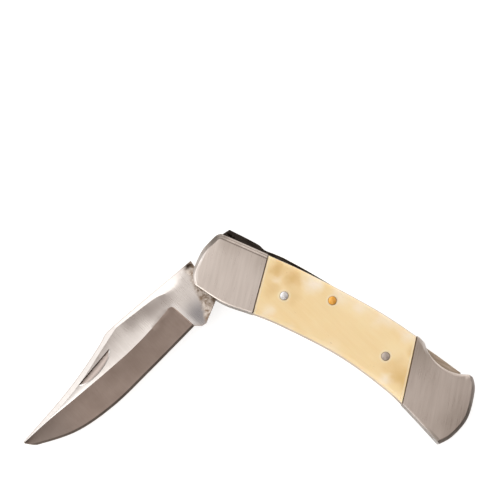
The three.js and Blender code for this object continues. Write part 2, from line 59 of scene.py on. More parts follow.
# Layers, from the frame
SIDES = ("left", "right")
MIDDLE = (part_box("left_liner")[0][2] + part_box("right_liner")[1][2]) / 2 / MM
SLICE_CLEARANCE = 0.3  # from a seat plane to the slice that gives the outline on it

# Fineness
OUTLINE_STEP = 0.45
OUTLINE_TOLERANCE = 0.004
GRID_STEP = 1.3
GRID_ROWS = 0.87  # of the grid's step, so that its triangles are even
GRID_CLEARANCE = 0.45  # of the grid's step, from the lines
LEAST_GAP = 0.03  # between two lines of a mesh
POINTS_AT_ONCE = 400  # so that the table of gaps stays small
CORNER_TURN = math.radians(25)  # an outline that turns by more than this has a corner there
SHARP_EDGE = math.radians(32)
SMOOTH_TURN = math.radians(11)  # normals that differ by less than this are smoothed together
SLOPE_PLACE = 0.12  # from a corner to its face's middle, where the slope of the surface is read
NUDGE = 0.001  # between the points of a slope
FAR = 99.0  # from an edge that a piece doesn't have
PIN_SIDES = 56

# Rims of the bolsters and scales: width and drop. The front's change from its top corner down to
# its foot, and the notch's from its front end back to the butt
SPINE_RIM = (1.4, 0.8)
FACETS = ([0, 0.42, 0.5, 0.92, 1], [1, 0.36, 0.29, 0.035, 0])  # shares of the width and of the drop
FRONT_RIM = ((1.45, 0.6), (1.1, 0.2))
FRONT_RIM_EASE = (0.1, 0.3)
LOWER_RIM = (0.34, 0.2)
REAR_RIM = (0.16, 0.035)
BUTT_RIM = (0.95, 0.75)
NOTCH_RIM = ((0.3, 0.95), (0.16, 0.24))
RIM_EASE = 0.12
SCALE_RIM = (1.5, 1.2)
SCALE_RINGS = [0.02, 0.08, 0.18, 0.33, 0.55, 1, 1.6]
SEAM_RIM = 0.1
CROWN_REACH = 7.5
BOLSTER_CROWN = 0.12
SCALE_CROWN = 0.22
PLATE_RIM = 0.09
BAR_RIM = 0.14
HOLE_RIM = 0.06

# Blade, in its own axes: it points along -X from the pivot with its spine up
BLADE_TURN = 70.5
BLADE_REACH = 80.4
BLADE_THICKNESS = 2.4
TIP_THICKNESS = 1.3
TIP_TAPER = 16
GRIND_LINE = [(-19.3, 2.95), (-31, 1.05), (-41, 0.35), (-60, 0.3), (-71, 0.45), (-80.4, 0.12)]
SWEDGE_START = -9.8
SWEDGE_SPINE = [(-9.8, 9.3), (-12, 7.6), (-15, 6.6), (-18, 6.75), (-21, 7.65), (-25, 8.05), (-31, 8.35),
                (-36.6, 8.6)]
SWEDGE_CLIP = [(-36.6, 8.6), (-38, 8.2), (-42, 7.0), (-46, 5.8), (-50, 4.5), (-54, 3.35), (-60, 2.0),
               (-66, 1.1), (-73, 0.65), (-80.4, 0.2)]
SWEDGE_SLOPE = (0.09, 0.26)  # by the tang, and further on
SWEDGE_GROWS = (-11, -22)  # from the first slope to the second
SPINE_FLAT = 1.4
EDGE_BEVEL = 0.75
EDGE_SHOULDER = 0.6
EDGE_THICKNESS = 0.12
MOST_EDGE_BEVEL = 0.3  # of the height of the ground face
GRIND_HOLLOW = 0.05
FLAT_HOLLOW = 0.11
FLAT_HOLLOW_WIDTH = 5
FLAT_HOLLOW_START = 12  # how far the hollow takes to reach its depth
PLUNGE_TOP = (-19.3, 2.95)
PLUNGE_FOOT = (-18, -6.4)
PLUNGE_COVE = 0.25
PLUNGE_CORNER = 1.5
NICK_CENTRE = (-49.3, 2.7)
NICK_LENGTH = 14.3
NICK_WIDTH = 2.5
NICK_DEPTH = 0.5
NICK_TILT = 9.5
NICK_WALL = 0.14

# Pins
SHANK_RADIUS = 1.2
HEAD_RADIUS = 1.3
HEAD_CROWN = 0.05
HEAD_EDGE = 0.12

# Leaf spring: where along X the spacer holds it, and where its tip lies on the lock bar
SPRING_FIXED_END = 66.5
SPRING_TIP = 48.2

# Camera: where the picture's centre lies, and how it is turned and scaled
VIEW_CENTRE = (3.17, 9.17, 9)
VIEW_TURN = 30
VIEW_TILT = 5
VIEW_WIDTH = 152.15
LENS = 200
SENSOR = 36


def smoothstep(value):
    value = np.clip(value, 0, 1)
    return value * value * (3 - 2 * value)


def rotated(points, degrees):
    angle = math.radians(degrees)
    turn = np.array([[math.cos(angle), math.sin(angle)], [-math.sin(angle), math.cos(angle)]])
    return np.asarray(points) @ turn


def crossed(first, second):
    """The cross product of level vectors"""
    return first[..., 0] * second[..., 1] - first[..., 1] * second[..., 0]


def area(loop):
    return crossed(loop, np.roll(loop, -1, axis=0)).sum() / 2


def slices(node, height):
    """The closed outlines in mm where a solid meets a level plane, the largest first"""
    mesh = bmesh.new()
    mesh.from_mesh(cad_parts[node].data)
    bmesh.ops.remove_doubles(mesh, verts=mesh.verts, dist=1e-7)
    parts = mesh.verts[:] + mesh.edges[:] + mesh.faces[:]
    place = (0, 0, height * MM)
    cut = bmesh.ops.bisect_plane(mesh, geom=parts, plane_co=place, plane_no=(0, 0, 1), dist=1e-8)
    near = {}
    for edge in cut["geom_cut"]:
        if isinstance(edge, bmesh.types.BMEdge):
            first, second = edge.verts
            near.setdefault(first, []).append(second)
            near.setdefault(second, []).append(first)
    loops = []
    while near:
        first = next(iter(near))
        loop, onward = [first], near[first][0]
        while onward is not first:
            loop.append(onward)
            onward = next(vert for vert in near[onward] if vert is not loop[-2])
        for vert in loop:
            del near[vert]
        loops.append(np.array([vert.co[:2] for vert in loop]) / MM)
    mesh.free()
    return sorted(loops, key=lambda loop: -abs(area(loop)))


def simplified(loop):
    """A closed outline without the points that lie on a straight line between others"""
    start = int(np.argmax(np.linalg.norm(loop - loop.mean(axis=0), axis=1)))
    loop = np.roll(loop, -start, axis=0)
    ring = np.concatenate([loop, loop[:1]])
    far = int(np.argmax(np.linalg.norm(loop - loop[0], axis=1)))
    keep = {0, far}
    spans = [(0, far), (far, len(loop))]
    while spans:
        first, last = spans.pop()
        if last - first < 2:
            continue
        chord = ring[last] - ring[first]
        away = ring[first + 1:last] - ring[first]
        gaps = np.abs(crossed(chord, away)) / np.linalg.norm(chord)
        worst = int(np.argmax(gaps))
        if gaps[worst] > OUTLINE_TOLERANCE:
            middle = first + 1 + worst
            keep.add(middle)
            spans += [(first, middle), (middle, last)]
    return loop[sorted(keep)]


def turns(loop):
    """How much a closed outline turns at each point"""
    before = loop - np.roll(loop, 1, axis=0)
    after = np.roll(loop, -1, axis=0) - loop
    return np.arctan2(crossed(before, after), (before * after).sum(axis=1))


def resampled(points, closed=False):
    """A smooth line through the points, in even steps"""
    points = np.asarray(points, float)
    ends = (2 * points[:1] - points[1:2], 2 * points[-1:] - points[-2:-1])
    if closed:
        ends = (points[-1:], points[:2])
    known = np.concatenate([ends[0], points, ends[1]])
    s = np.linspace(0, 1, 9)[:-1, None]
    dense = []
    for p0, p1, p2, p3 in zip(known, known[1:], known[2:], known[3:]):
        whole = np.linalg.norm(p2 - p1)
        t1 = (p2 - p0) / (np.linalg.norm(p1 - p0) + whole) * whole
        t2 = (p3 - p1) / (whole + np.linalg.norm(p3 - p2)) * whole
        dense.append((2 * s**3 - 3 * s**2 + 1) * p1 + (s**3 - 2 * s**2 + s) * t1
                     + (3 * s**2 - 2 * s**3) * p2 + (s**3 - s**2) * t2)
    dense = np.concatenate([*dense, points[:1] if closed else points[-1:]])
    lengths = np.concatenate([[0], np.cumsum(np.linalg.norm(np.diff(dense, axis=0), axis=1))])
    steps = max(2, round(lengths[-1] / OUTLINE_STEP))
    places = np.linspace(0, lengths[-1], steps + 1)
    return np.column_stack([np.interp(places, lengths, dense[:, axis]) for axis in (0, 1)])


def runs_of(loop, inside=True):
    """The smooth stretches of an outline between its corners, with the material on their left"""
    if (area(loop) > 0) != inside:
        loop = loop[::-1]
    loop = simplified(loop)
    corners = np.flatnonzero(np.abs(turns(loop)) > CORNER_TURN)
    if not len(corners):
        return [resampled(loop, closed=True)]
    runs = []
    for start, end in zip(corners, np.roll(corners, -1)):
        if end <= start:
            end += len(loop)
        runs.append(resampled(loop[np.arange(start, end + 1) % len(loop)]))
    return runs


def normals_of(run):
    """Unit normals to the left of a line"""
    along = np.gradient(run, axis=0)
    along /= np.linalg.norm(along, axis=1)[:, None]
    return np.column_stack([-along[:, 1], along[:, 0]])


def distances(points, run, extend=4.0):
    """How far each point is from a line with its ends made longer, and how far along it, from 0 to 1"""
    closed = np.allclose(run[0], run[-1])
    line = run
    if not closed:
        first, last = run[0] - run[1], run[-1] - run[-2]
        first, last = first / np.linalg.norm(first) * extend, last / np.linalg.norm(last) * extend
        line = np.concatenate([[run[0] + first], run, [run[-1] + last]])
    best = np.full(len(points), np.inf)
    place = np.zeros(len(points))
    for number, (start, span) in enumerate(zip(line[:-1], np.diff(line, axis=0))):
        away = points - start
        share = np.clip(away @ span / (span @ span), 0, 1)
        away = away - share[:, None] * span
        gap = np.hypot(away[:, 0], away[:, 1])
        nearer = gap < best
        best[nearer] = gap[nearer]
        place[nearer] = number + share[nearer]
    if not closed:
        place = np.clip(place - 1, 0, len(run) - 1)
    return best, place / (len(run) - 1)


def inside(points, loops):
    """Whether each point lies inside the outlines, by counting crossings"""
    found = np.zeros(len(points), bool)
    for loop in loops:
        for (x0, y0), (x1, y1) in zip(loop, np.roll(loop, -1, axis=0)):
            if y0 == y1:
                continue
            between = (points[:, 1] > min(y0, y1)) & (points[:, 1] <= max(y0, y1))
            cross = x0 + (points[:, 1] - y0) * (x1 - x0) / (y1 - y0)
            found ^= between & (points[:, 0] < cross)
    return found


# Rim shapes: the share of the drop that is left at a share of the width, from the outside in
def rounded(share):
    return 1 - np.sqrt(1 - (1 - share) ** 2)


def chamfered(share):
    return 1 - share


def two_facets(share):
    return np.interp(share, *FACETS)


class Rim:
    """A worked edge along one run of an outline"""
    major = True

    def __init__(self, run, width, drop, shape, rings, crown=0.0):
        self.run, self.width, self.drop = run, width, drop
        self.shape, self.rings, self.crown = shape, rings, crown

    def worked(self, gap, place):
        return self.drop * self.shape(np.clip(gap / self.width, 0, 1))

    def depth(self, points):
        """How far the surface lies below the face at each point, and how far the point is from the edge"""
        gap, place = distances(points, self.run)
        crown = self.crown * (1 - np.clip(gap / CROWN_REACH, 0, 1)) ** 2
        return self.worked(gap, place) + crown, gap

    def lines(self):
        """Rows of points inside the edge"""
        return [self.run + normals_of(self.run) * self.width * ring for ring in self.rings]


class SmallRim(Rim):
    """A chamfer so small that it adds to the others"""
    major = False

    def __init__(self, run, size, rings):
        super().__init__(run, size, size, chamfered, rings)


class Bevel(Rim):
    """A bevel with an eased inner edge. Its sizes run evenly from a first to a last value along the run"""

    def __init__(self, run, width, drop, ease, crown=0.0, reverse=False):
        super().__init__(run, width, drop, None, [], crown)
        self.sizes = [size if isinstance(size, tuple) else (size, size) for size in (width, drop, ease)]
        if reverse:
            self.sizes = [size[::-1] for size in self.sizes]

    def sizes_at(self, place):
        return [first + (last - first) * smoothstep(place) for first, last in self.sizes]

    def worked(self, gap, place):
        width, drop, ease = self.sizes_at(place)
        inner = np.clip(width + ease - gap, 0, 2 * ease) ** 2 / (4 * ease)
        return drop / width * np.where(gap < width - ease, width - gap, inner)

    def lines(self):
        width, _, ease = self.sizes_at(np.linspace(0, 1, len(self.run)))
        offsets = [width * 0.5, *(width + ease * step for step in (-1, -0.5, 0, 0.5, 1))]
        return [self.run + normals_of(self.run) * offset[:, None] for offset in offsets]


def kept_pieces(line, keep):
    """The stretches of a line whose points are kept"""
    cuts = np.flatnonzero(np.diff(keep)) + 1
    stretches = zip(np.split(line, cuts), np.split(keep, cuts))
    return [stretch for stretch, kept in stretches if kept[0] and len(stretch) > 1]


def rim_lines(rims, loops):
    """The rows of every rim, without the parts where another rim cuts deeper"""
    found = []
    for rim in rims:
        others = [other for other in rims if other is not rim]
        for line in rim.lines():
            keep = inside(line, loops)
            own = rim.depth(line)[0]
            for other in others:
                depth, gap = other.depth(line)
                if other.major and rim.major:
                    keep &= own >= depth - LEAST_GAP
                keep &= gap > LEAST_GAP
            found += kept_pieces(line, keep)
    return found


def triangles(loops, lines, grid):
    """A flat mesh inside the outlines that keeps the given lines as edges"""
    points, edges = [], []
    for number, line in enumerate([*loops, *lines]):
        start, count = len(points), len(line)
        points += list(line)
        spans = count if number < len(loops) else count - 1
        edges += [(start + n, start + (n + 1) % count) for n in range(spans)]
    fixed = np.array(points)
    low, high = fixed.min(axis=0), fixed.max(axis=0)
    rows = []
    for row, y in enumerate(np.arange(low[1], high[1], grid * GRID_ROWS)):
        shift = grid / 2 * (row % 2)
        rows += [(x, y) for x in np.arange(low[0] + shift, high[0], grid)]
    loose = np.array(rows)
    loose = loose[inside(loose, loops)]
    gaps = np.full(len(loose), np.inf)
    for part in np.array_split(fixed, len(fixed) // POINTS_AT_ONCE + 1):
        gaps = np.minimum(gaps, np.linalg.norm(loose[:, None] - part, axis=2).min(axis=1))
    loose = loose[gaps > grid * GRID_CLEARANCE]
    made = delaunay_2d_cdt([Vector(point) for point in [*fixed, *loose]], edges, [], 0, 1e-5)
    flat = np.array([tuple(vert) for vert in made[0]])
    faces = np.array([tuple(face) for face in made[2]])
    faces = faces[inside(flat[faces].mean(axis=1), loops)]
    first, second, third = flat[faces].swapaxes(0, 1)
    cross = crossed(second - first, third - first)
    faces[cross < 0] = faces[cross < 0][:, ::-1]
    faces = faces[np.abs(cross) > 1e-9]
    used, faces = np.unique(faces, return_inverse=True)
    return flat[used], faces.reshape(-1, 3)


def unit(vectors):
    return vectors / np.linalg.norm(vectors, axis=-1, keepdims=True)


def eased_normals(vertices, normals, most):
    """Each corner's normal, averaged with those at the same vertex that differ little from it"""
    order = np.argsort(vertices, kind="stable")
    starts = np.flatnonzero(np.diff(vertices[order], prepend=-1))
    result = np.empty_like(normals)
    for start, end in zip(starts, [*starts[1:], len(order)]):
        group = order[start:end]
        own = normals[group]
        result[group] = (own @ own.T > math.cos(most)) @ own
    return unit(result)


def new_object(name, data):
    made = bpy.data.objects.new(name, data)
    bpy.context.scene.collection.objects.link(made)
    return made


def raised(name, flat, faces, surface, slots=None, turn=0.0, lift=0.0):
    """A closed solid between the two heights in mm that surface gives for points, turned and lifted"""
    count = len(flat)
    placed = rotated(flat, turn)
    upper, lower = [np.column_stack([placed, height + lift]) * MM for height in surface(flat)]
    owner = {edge: face for face, (a, b, c) in enumerate(faces.tolist()) for edge in ((a, b), (b, c), (c, a))}
    walls = np.array([(a, b, face) for (a, b), face in owner.items() if (b, a) not in owner])
    a, b, beside = walls.T
    quads = np.column_stack([b, a, a + count, b + count])
    under = faces[:, ::-1] + count
    mesh = bpy.data.meshes.new(name)
    points = np.concatenate([upper, lower]).tolist()
    mesh.from_pydata(points, [], [*faces.tolist(), *under.tolist(), *quads.tolist()])
    if slots is not None:
        mesh.polygons.foreach_set("material_index", np.concatenate([slots, slots, slots[beside]]).astype(int))
    mesh.shade_smooth()

    # Normals from the surface's own slope, read just inside each corner, so that creases stay crisp
    corners = flat[faces]
    probe = (corners + (corners.mean(axis=1, keepdims=True) - corners) * SLOPE_PLACE).reshape(-1, 2)
    here, east, north = surface(probe), surface(probe + (NUDGE, 0)), surface(probe + (0, NUDGE))
    normals = []
    for layer, sign in ((0, 1), (1, -1)):
        slope = np.column_stack([east[layer] - here[layer], north[layer] - here[layer]]) / NUDGE
        tilted = unit(np.column_stack([-slope * sign, np.full(len(slope), sign)]))
        tilted = eased_normals(faces.ravel(), tilted, SMOOTH_TURN).reshape(-1, 3, 3)
        normals.append((tilted[:, ::-1] if layer else tilted).reshape(-1, 3))
    along = flat[b] - flat[a]
    outward = unit(np.column_stack([along[:, 1], -along[:, 0], np.zeros(len(along))]))
    ends = eased_normals(np.concatenate([b, a]), np.concatenate([outward, outward]), CORNER_TURN)
    at_b, at_a = np.split(ends, 2)
    normals.append(np.stack([at_b, at_a, at_a, at_b], axis=1).reshape(-1, 3))
    normals = np.concatenate(normals)
    mesh.normals_split_custom_set(np.column_stack([rotated(normals[:, :2], turn), normals[:, 2]]).tolist())
    return new_object(name, mesh)


def give_attribute(piece, name, values):
    """An attribute from its values on the upper face, the same on the lower one"""
    made = piece.data.attributes.new(name, "FLOAT", "POINT")
    made.data.foreach_set("value", np.tile(values, 2).astype(np.float32))


def finish_piece(piece, body, node, slot, *looks):
    for look in looks:
        piece.data.materials.append(look)
    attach(piece, body)
    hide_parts(node)
    return piece


def outlined(loops):
    """The runs of the outer outline and of the holes, and all of them joined to closed outlines again"""
    runs = runs_of(loops[0])
    hole_runs = [runs_of(loop, inside=False)[0] for loop in loops[1:]]
    return runs, hole_runs, [np.concatenate([run[:-1] for run in runs]), *[run[:-1] for run in hole_runs]]


def layout(loops, rim_for, holes=True):
    """The rims and outlines of a plate. Each hole gets a small chamfer"""
    runs, hole_runs, outlines = outlined(loops if holes else loops[:1])
    return [rim_for(run) for run in runs] + [SmallRim(run, HOLE_RIM, [1, 4]) for run in hole_runs], outlines


def plate(name, rims, outlines, surface, grid, **gaps):
    """A plate between the heights of surface. gaps names attributes that hold how far each point is from
    an edge, and says whether from the edges of the major rims or the small ones"""
    flat, faces = triangles(outlines, rim_lines(rims, outlines), grid)
    piece = raised(name, flat, faces, surface)
    for attribute, major in gaps.items():
        away = [rim.depth(flat)[1] for rim in rims if rim.major == major] or [np.full(len(flat), FAR)]
        give_attribute(piece, attribute, np.min(away, axis=0))
    return piece


def outer_level(node, side):
    """The height in mm of a node's outer face on its side of the knife"""
    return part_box(node)[1 if side == "left" else 0][2] / MM


def side_plate(name, node, side, rim_for, holes=True):
    """A bolster or scale: flat on its liner, with worked edges round its outer face"""
    seat, face = outer_level(f"{side}_liner", side), outer_level(node, side)
    outwards = 1 if side == "left" else -1
    rims, outlines = layout(slices(node, seat + outwards * SLICE_CLEARANCE), rim_for, holes)

    def surface(points):
        worked, small = np.zeros(len(points)), np.zeros(len(points))
        for rim in rims:
            kind = worked if rim.major else small
            np.maximum(kind, rim.depth(points)[0], out=kind)
        heights = (face - outwards * (worked + small), np.full(len(points), seat))
        return heights if side == "left" else heights[::-1]

    return plate(name, rims, outlines, surface, GRID_STEP, rim=True, seam=False)


def middle_of(run):
    return run[len(run) // 2]


def is_straight(run):
    return distances(run, run[[0, -1]])[0].max() < 0.02


def is_hollow(run):
    """True for a run that bends into the material, such as the thumb notch"""
    chord = run[-1] - run[0]
    away = middle_of(run) - (run[0] + run[-1]) / 2
    return crossed(chord, away) > 0.05 * (chord @ chord)


# Which run of an outline gets which rim, by where in mm its middle lies
def front_bolster_rim(run):
    x, y = middle_of(run)
    if is_straight(run) and x > 5:
        return SmallRim(run, SEAM_RIM, [1])
    if x < -7:
        upwards = run[0][1] < run[-1][1]
        return Bevel(run, *FRONT_RIM, FRONT_RIM_EASE, BOLSTER_CROWN, reverse=upwards)
    if y > 5:
        return Rim(run, *SPINE_RIM, two_facets, [*FACETS[0][1:], 1.5], BOLSTER_CROWN)
    return Bevel(run, *LOWER_RIM, RIM_EASE, BOLSTER_CROWN)


def rear_bolster_rim(run):
    x, y = middle_of(run)
    if is_straight(run) and x < 66 and y < 8:
        return SmallRim(run, SEAM_RIM, [1])
    if is_hollow(run):
        backwards = run[0][0] > run[-1][0]
        return Bevel(run, *NOTCH_RIM, RIM_EASE, reverse=backwards)
    if y > 8:
        return Bevel(run, *LOWER_RIM, RIM_EASE)
    if x > 80:
        return Bevel(run, *BUTT_RIM, RIM_EASE, BOLSTER_CROWN)
    return Bevel(run, *REAR_RIM, RIM_EASE, BOLSTER_CROWN)


def scale_rim(run):
    if is_straight(run):
        return SmallRim(run, SEAM_RIM, [1, 4])
    return Rim(run, *SCALE_RIM, rounded, SCALE_RINGS, SCALE_CROWN)


def flat_plate(name, node, rim, grid=3 * GRID_STEP):
    """A level plate with a small chamfer round both faces"""
    low, high = [corner[2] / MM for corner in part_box(node)]
    rims, outlines = layout(slices(node, (low + high) / 2), lambda run: SmallRim(run, rim, [1]))

    def surface(points):
        drop = np.max([one.depth(points)[0] for one in rims], axis=0)
        return high - drop, low + drop

    return plate(name, rims, outlines, surface, grid, rim=False)


# The blade
FLAT, GROUND, HONED, SWEDGE, NICK = range(5)


def in_steps(low, high, step):
    return np.linspace(low, high, max(2, round(abs(high - low) / step)) + 1)


def by_x(*lines):
    """A function that gives the height by x along smooth lines of points"""
    points = np.concatenate([resampled(line) for line in lines])
    known = points[np.argsort(points[:, 0], kind="stable")].T
    return lambda x: np.interp(x, *known)


class BladeShape:
    """Half the blade's thickness anywhere on it, in its own axes"""

    def __init__(self, runs):
        ahead = [(run, middle_of(run)[1]) for run in runs if middle_of(run)[0] < -20]
        self.top = by_x(*(run for run, y in ahead if y > 2))
        self.foot = by_x(*(run for run, y in ahead if y < -2))
        self.ground = by_x(GRIND_LINE)
        self.swedge = by_x(SWEDGE_SPINE, SWEDGE_CLIP)

    def swedge_foot(self, x):
        return np.clip(self.swedge(x), self.ground(x) + LEAST_GAP, self.top(x) - LEAST_GAP)

    def shoulder(self, x):
        return self.foot(x) + np.minimum(EDGE_BEVEL, (self.ground(x) - self.foot(x)) * MOST_EDGE_BEVEL)

    def plunge_x(self, y):
        """The plunge line, rounded into the grind line at its top"""
        share = (y - PLUNGE_FOOT[1]) / (PLUNGE_TOP[1] - PLUNGE_FOOT[1])
        rise = np.clip((y - PLUNGE_TOP[1] + PLUNGE_CORNER) / PLUNGE_CORNER, 0, 1)
        line = PLUNGE_FOOT[0] + (PLUNGE_TOP[0] - PLUNGE_FOOT[0]) * share
        return line - PLUNGE_CORNER * (1 - np.sqrt(1 - rise**2))

    def full(self, x):
        taper = np.clip((BLADE_REACH + x) / TIP_TAPER, 0, 1)
        return (TIP_THICKNESS + (BLADE_THICKNESS - TIP_THICKNESS) * taper) / 2

    def half(self, points):
        x, y = points.T
        full = self.full(x)
        top, foot, ground = self.top(x), self.foot(x), self.ground(x)
        swedge, shoulder = self.swedge_foot(x), self.shoulder(x)
        up = np.clip((y - swedge) / (top - swedge), 0, 1.2)
        across = np.clip((y - ground) / (swedge - ground), 0, 1)
        down = np.clip((ground - y) / np.maximum(ground - shoulder, 0.01), 0, 1)
        last = np.clip((shoulder - y) / np.maximum(shoulder - foot, 0.01), 0, 1.2)

        # The spine's bevel, and a slight hollow in the flat below it
        slope = np.interp(-x, [-SWEDGE_GROWS[0], -SWEDGE_GROWS[1]], SWEDGE_SLOPE)
        drop = np.minimum(full - full * SPINE_FLAT / BLADE_THICKNESS, (top - swedge) * slope)
        hollow = FLAT_HOLLOW * smoothstep((PLUNGE_TOP[0] - x) / FLAT_HOLLOW_START)
        hollow = hollow * np.minimum((swedge - ground) / FLAT_HOLLOW_WIDTH, 1)
        dressed = full - np.where(x < SWEDGE_START, drop * up, 0) - 4 * hollow * across * (1 - across)

        # The hollow ground bevel and the honed edge, up to the plunge
        shoulder_half = np.minimum(EDGE_SHOULDER / 2, full * 0.8)
        worked = full + (shoulder_half - full) * down - GRIND_HOLLOW * 4 * down * (1 - down)
        worked = worked + (EDGE_THICKNESS / 2 - shoulder_half) * last
        cove = smoothstep(1 + (x - self.plunge_x(y)) / PLUNGE_COVE)
        half = np.where(y < ground, worked + (full - worked) * cove, dressed)
        return np.where(x > SWEDGE_START, BLADE_THICKNESS / 2, half)

    def nick(self, points):
        """How deep the nail nick is at each point"""
        local = rotated(points - np.array(NICK_CENTRE), -NICK_TILT)
        down = NICK_WIDTH / 2 - local[:, 1]
        share = (2 * local[:, 0] / NICK_LENGTH) ** 2 + (down / NICK_WIDTH) ** 2
        return NICK_DEPTH * np.clip(1 - share, 0, 1) ** 0.6 * np.clip(down / NICK_WALL, 0, 1)

    def nick_lines(self):
        angles = np.linspace(math.pi, 2 * math.pi, 40)
        lines = []
        for size in (1, 0.93, 0.8, 0.6, 0.3):
            arc = np.column_stack([np.cos(angles) * NICK_LENGTH / 2, np.sin(angles) * NICK_WIDTH]) * size
            arc[:, 1] += NICK_WIDTH / 2 - (NICK_WALL if size < 1 else 0)
            lines.append(arc)
        for down in (0, NICK_WALL):
            reach = NICK_LENGTH / 2 * math.sqrt(1 - (down / NICK_WIDTH) ** 2)
            across = in_steps(-reach, reach, OUTLINE_STEP)
            lines.append(np.column_stack([across, np.full_like(across, NICK_WIDTH / 2 - down)]))
        return [rotated(line, NICK_TILT) + np.array(NICK_CENTRE) for line in lines]

    def creases(self):
        near_tip = -BLADE_REACH + 0.3
        plunge = PLUNGE_TOP[0] - PLUNGE_CORNER - PLUNGE_COVE
        foot = PLUNGE_FOOT[0] - PLUNGE_COVE
        lines = []
        for end, height in ((SWEDGE_START, self.swedge_foot), (plunge, self.ground), (foot, self.shoulder)):
            x = in_steps(near_tip, end, OUTLINE_STEP)
            lines.append(np.column_stack([x, height(x)]))
        rows = in_steps(near_tip + 2, plunge, 2 * OUTLINE_STEP)
        middle = self.ground(rows)
        for share in (0.25, 0.5, 0.75):
            for side in (self.shoulder(rows), self.swedge_foot(rows)):
                lines.append(np.column_stack([rows, middle + (side - middle) * share]))
        up = in_steps(PLUNGE_FOOT[1] - 1, PLUNGE_TOP[1], OUTLINE_STEP)
        for share in (0, 0.25, 0.5, 0.75, 1):
            lines.append(np.column_stack([self.plunge_x(up) - PLUNGE_COVE * share, up]))
        return lines


def make_blade():
    runs, _, outlines = outlined([rotated(loop, -BLADE_TURN) for loop in slices("blade", MIDDLE)])
    shape = BladeShape(runs)
    lines = [piece for line in shape.creases() for piece in kept_pieces(line, inside(line, outlines))]
    flat, faces = triangles(outlines, lines + shape.nick_lines(), GRID_STEP)
    middles = flat[faces].mean(axis=1)
    x, y = middles.T
    slots = np.full(len(faces), FLAT)
    ground = (x < shape.plunge_x(y)) & (y < shape.ground(x))
    slots[ground] = GROUND
    slots[ground & (y < shape.shoulder(x))] = HONED
    slots[(y > shape.swedge_foot(x)) & (x < SWEDGE_START)] = SWEDGE
    slots[shape.nick(middles) > 0.004] = NICK

    def surface(points):
        half = shape.half(points)
        return half - shape.nick(points), -half

    piece = raised("blade_ground", flat, faces, surface, slots, BLADE_TURN, MIDDLE)
    give_attribute(piece, "rim", np.min([distances(flat, run, 0.01)[0] for run in runs], axis=0))
    return piece


# Pins
def head_profile(seat, top):
    """A flat head with a rounded edge and a slight crown, from its foot to its middle, facing up"""
    edge = min(HEAD_EDGE, (top - seat) * 0.7)
    inner, foot = HEAD_RADIUS - edge, top - HEAD_CROWN - edge
    rim = [(inner + edge * math.cos(a), foot + edge * math.sin(a)) for a in np.linspace(0, math.pi / 2, 6)]
    crown = [(inner * share, top - HEAD_CROWN * share**2) for share in (0.66, 0.33, 0)]
    return [(HEAD_RADIUS, seat), *rim, *crown]


def turned(name, profile, place):
    """A round piece from its profile of radius and height in mm, from the foot up"""
    mesh = bmesh.new()
    angles = np.linspace(0, 2 * math.pi, PIN_SIDES, endpoint=False)
    rings = []
    for radius, height in profile:
        rings.append([mesh.verts.new((radius * MM * math.cos(a), radius * MM * math.sin(a), height * MM))
                      for a in (angles if radius else [0])])
    for lower, upper in zip(rings, rings[1:]):
        for side in range(PIN_SIDES):
            after = (side + 1) % PIN_SIDES
            corners = [ring[at % len(ring)] for ring, at in
                       ((lower, side), (lower, after), (upper, after), (upper, side))]
            mesh.faces.new(list(dict.fromkeys(corners)))
    data = bpy.data.meshes.new(name)
    mesh.to_mesh(data)
    mesh.free()
    data.shade_smooth()
    data.set_sharp_from_angle(angle=SHARP_EDGE)
    piece = new_object(name, data)
    piece.location = (place[0] * MM, place[1] * MM, 0)
    return piece


def make_pin(name, node, heads):
    """A pin with a head at the ends named"""
    low, high = [np.array(corner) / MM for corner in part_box(node)]
    left, right = [outer_level(f"{side}_scale", side) for side in SIDES]
    profile = [(0, low[2]), (SHANK_RADIUS, low[2])]
    if "right" in heads:
        under = head_profile(-right, -low[2])
        profile = [(radius, -height) for radius, height in under[::-1]] + [(SHANK_RADIUS, right)]
    if "left" in heads:
        profile += [(SHANK_RADIUS, left), *head_profile(left, high[2])]
    else:
        profile += [(SHANK_RADIUS, high[2]), (0, high[2])]
    return turned(name, profile, (low + high) / 2)


# Finishes. Colours are linear. Patches are given by x, y and reach in mm, and their amount
WORN = (0.66, 0.59, 0.54)
# painted shade in patches, where the bolster faces reflect a darker studio
PATCH_SHADE = (0.33, 0.28, 0.24)
SEAM_GRIME = (0.10, 0.06, 0.04)
REAR_GRIME = (0.26, 0.17, 0.10)
# painted shade on the side walls, which would otherwise reflect the bright floor, and a lighter painted shade
# for the liner's walls under the scales
WALL_SHADE = (0.15, 0.12, 0.095)
PALE_WALL_SHADE = (0.5, 0.42, 0.35)
# painted shade and painted highlight patches on the bolsters' bevels
BEVEL_SHADE = (0.23, 0.20, 0.175)
BEVEL_HIGHLIGHT = (0.80, 0.76, 0.73)
# painted shade lines between the facets of the front bolster's spine rim
FACET_SHADE_LINE = (0.16, 0.13, 0.11)
RUST = ((0.30, 0.22, 0.16), (0.74, 0.665, 0.60))
# darker, nearly black patches on the raw tang by its corners
TANG_DARK = (0.05, 0.036, 0.026)
TANG_DARK_PATCHES = [(-6.6, 9.3, 3.0, 1.0), (-8.4, 9.2, 2.0, 0.7), (-7.6, -4.5, 2.6, 0.7),
                     (-8.5, -6.5, 2.4, 0.5)]
# painted shade on the blade's heel by the tang
HEEL_SHADE = (0.30, 0.285, 0.29)
HEEL_SHADE_PATCHES = [(-13, -6.5, 9, 1.0), (-16, -3, 5.5, 0.35)]
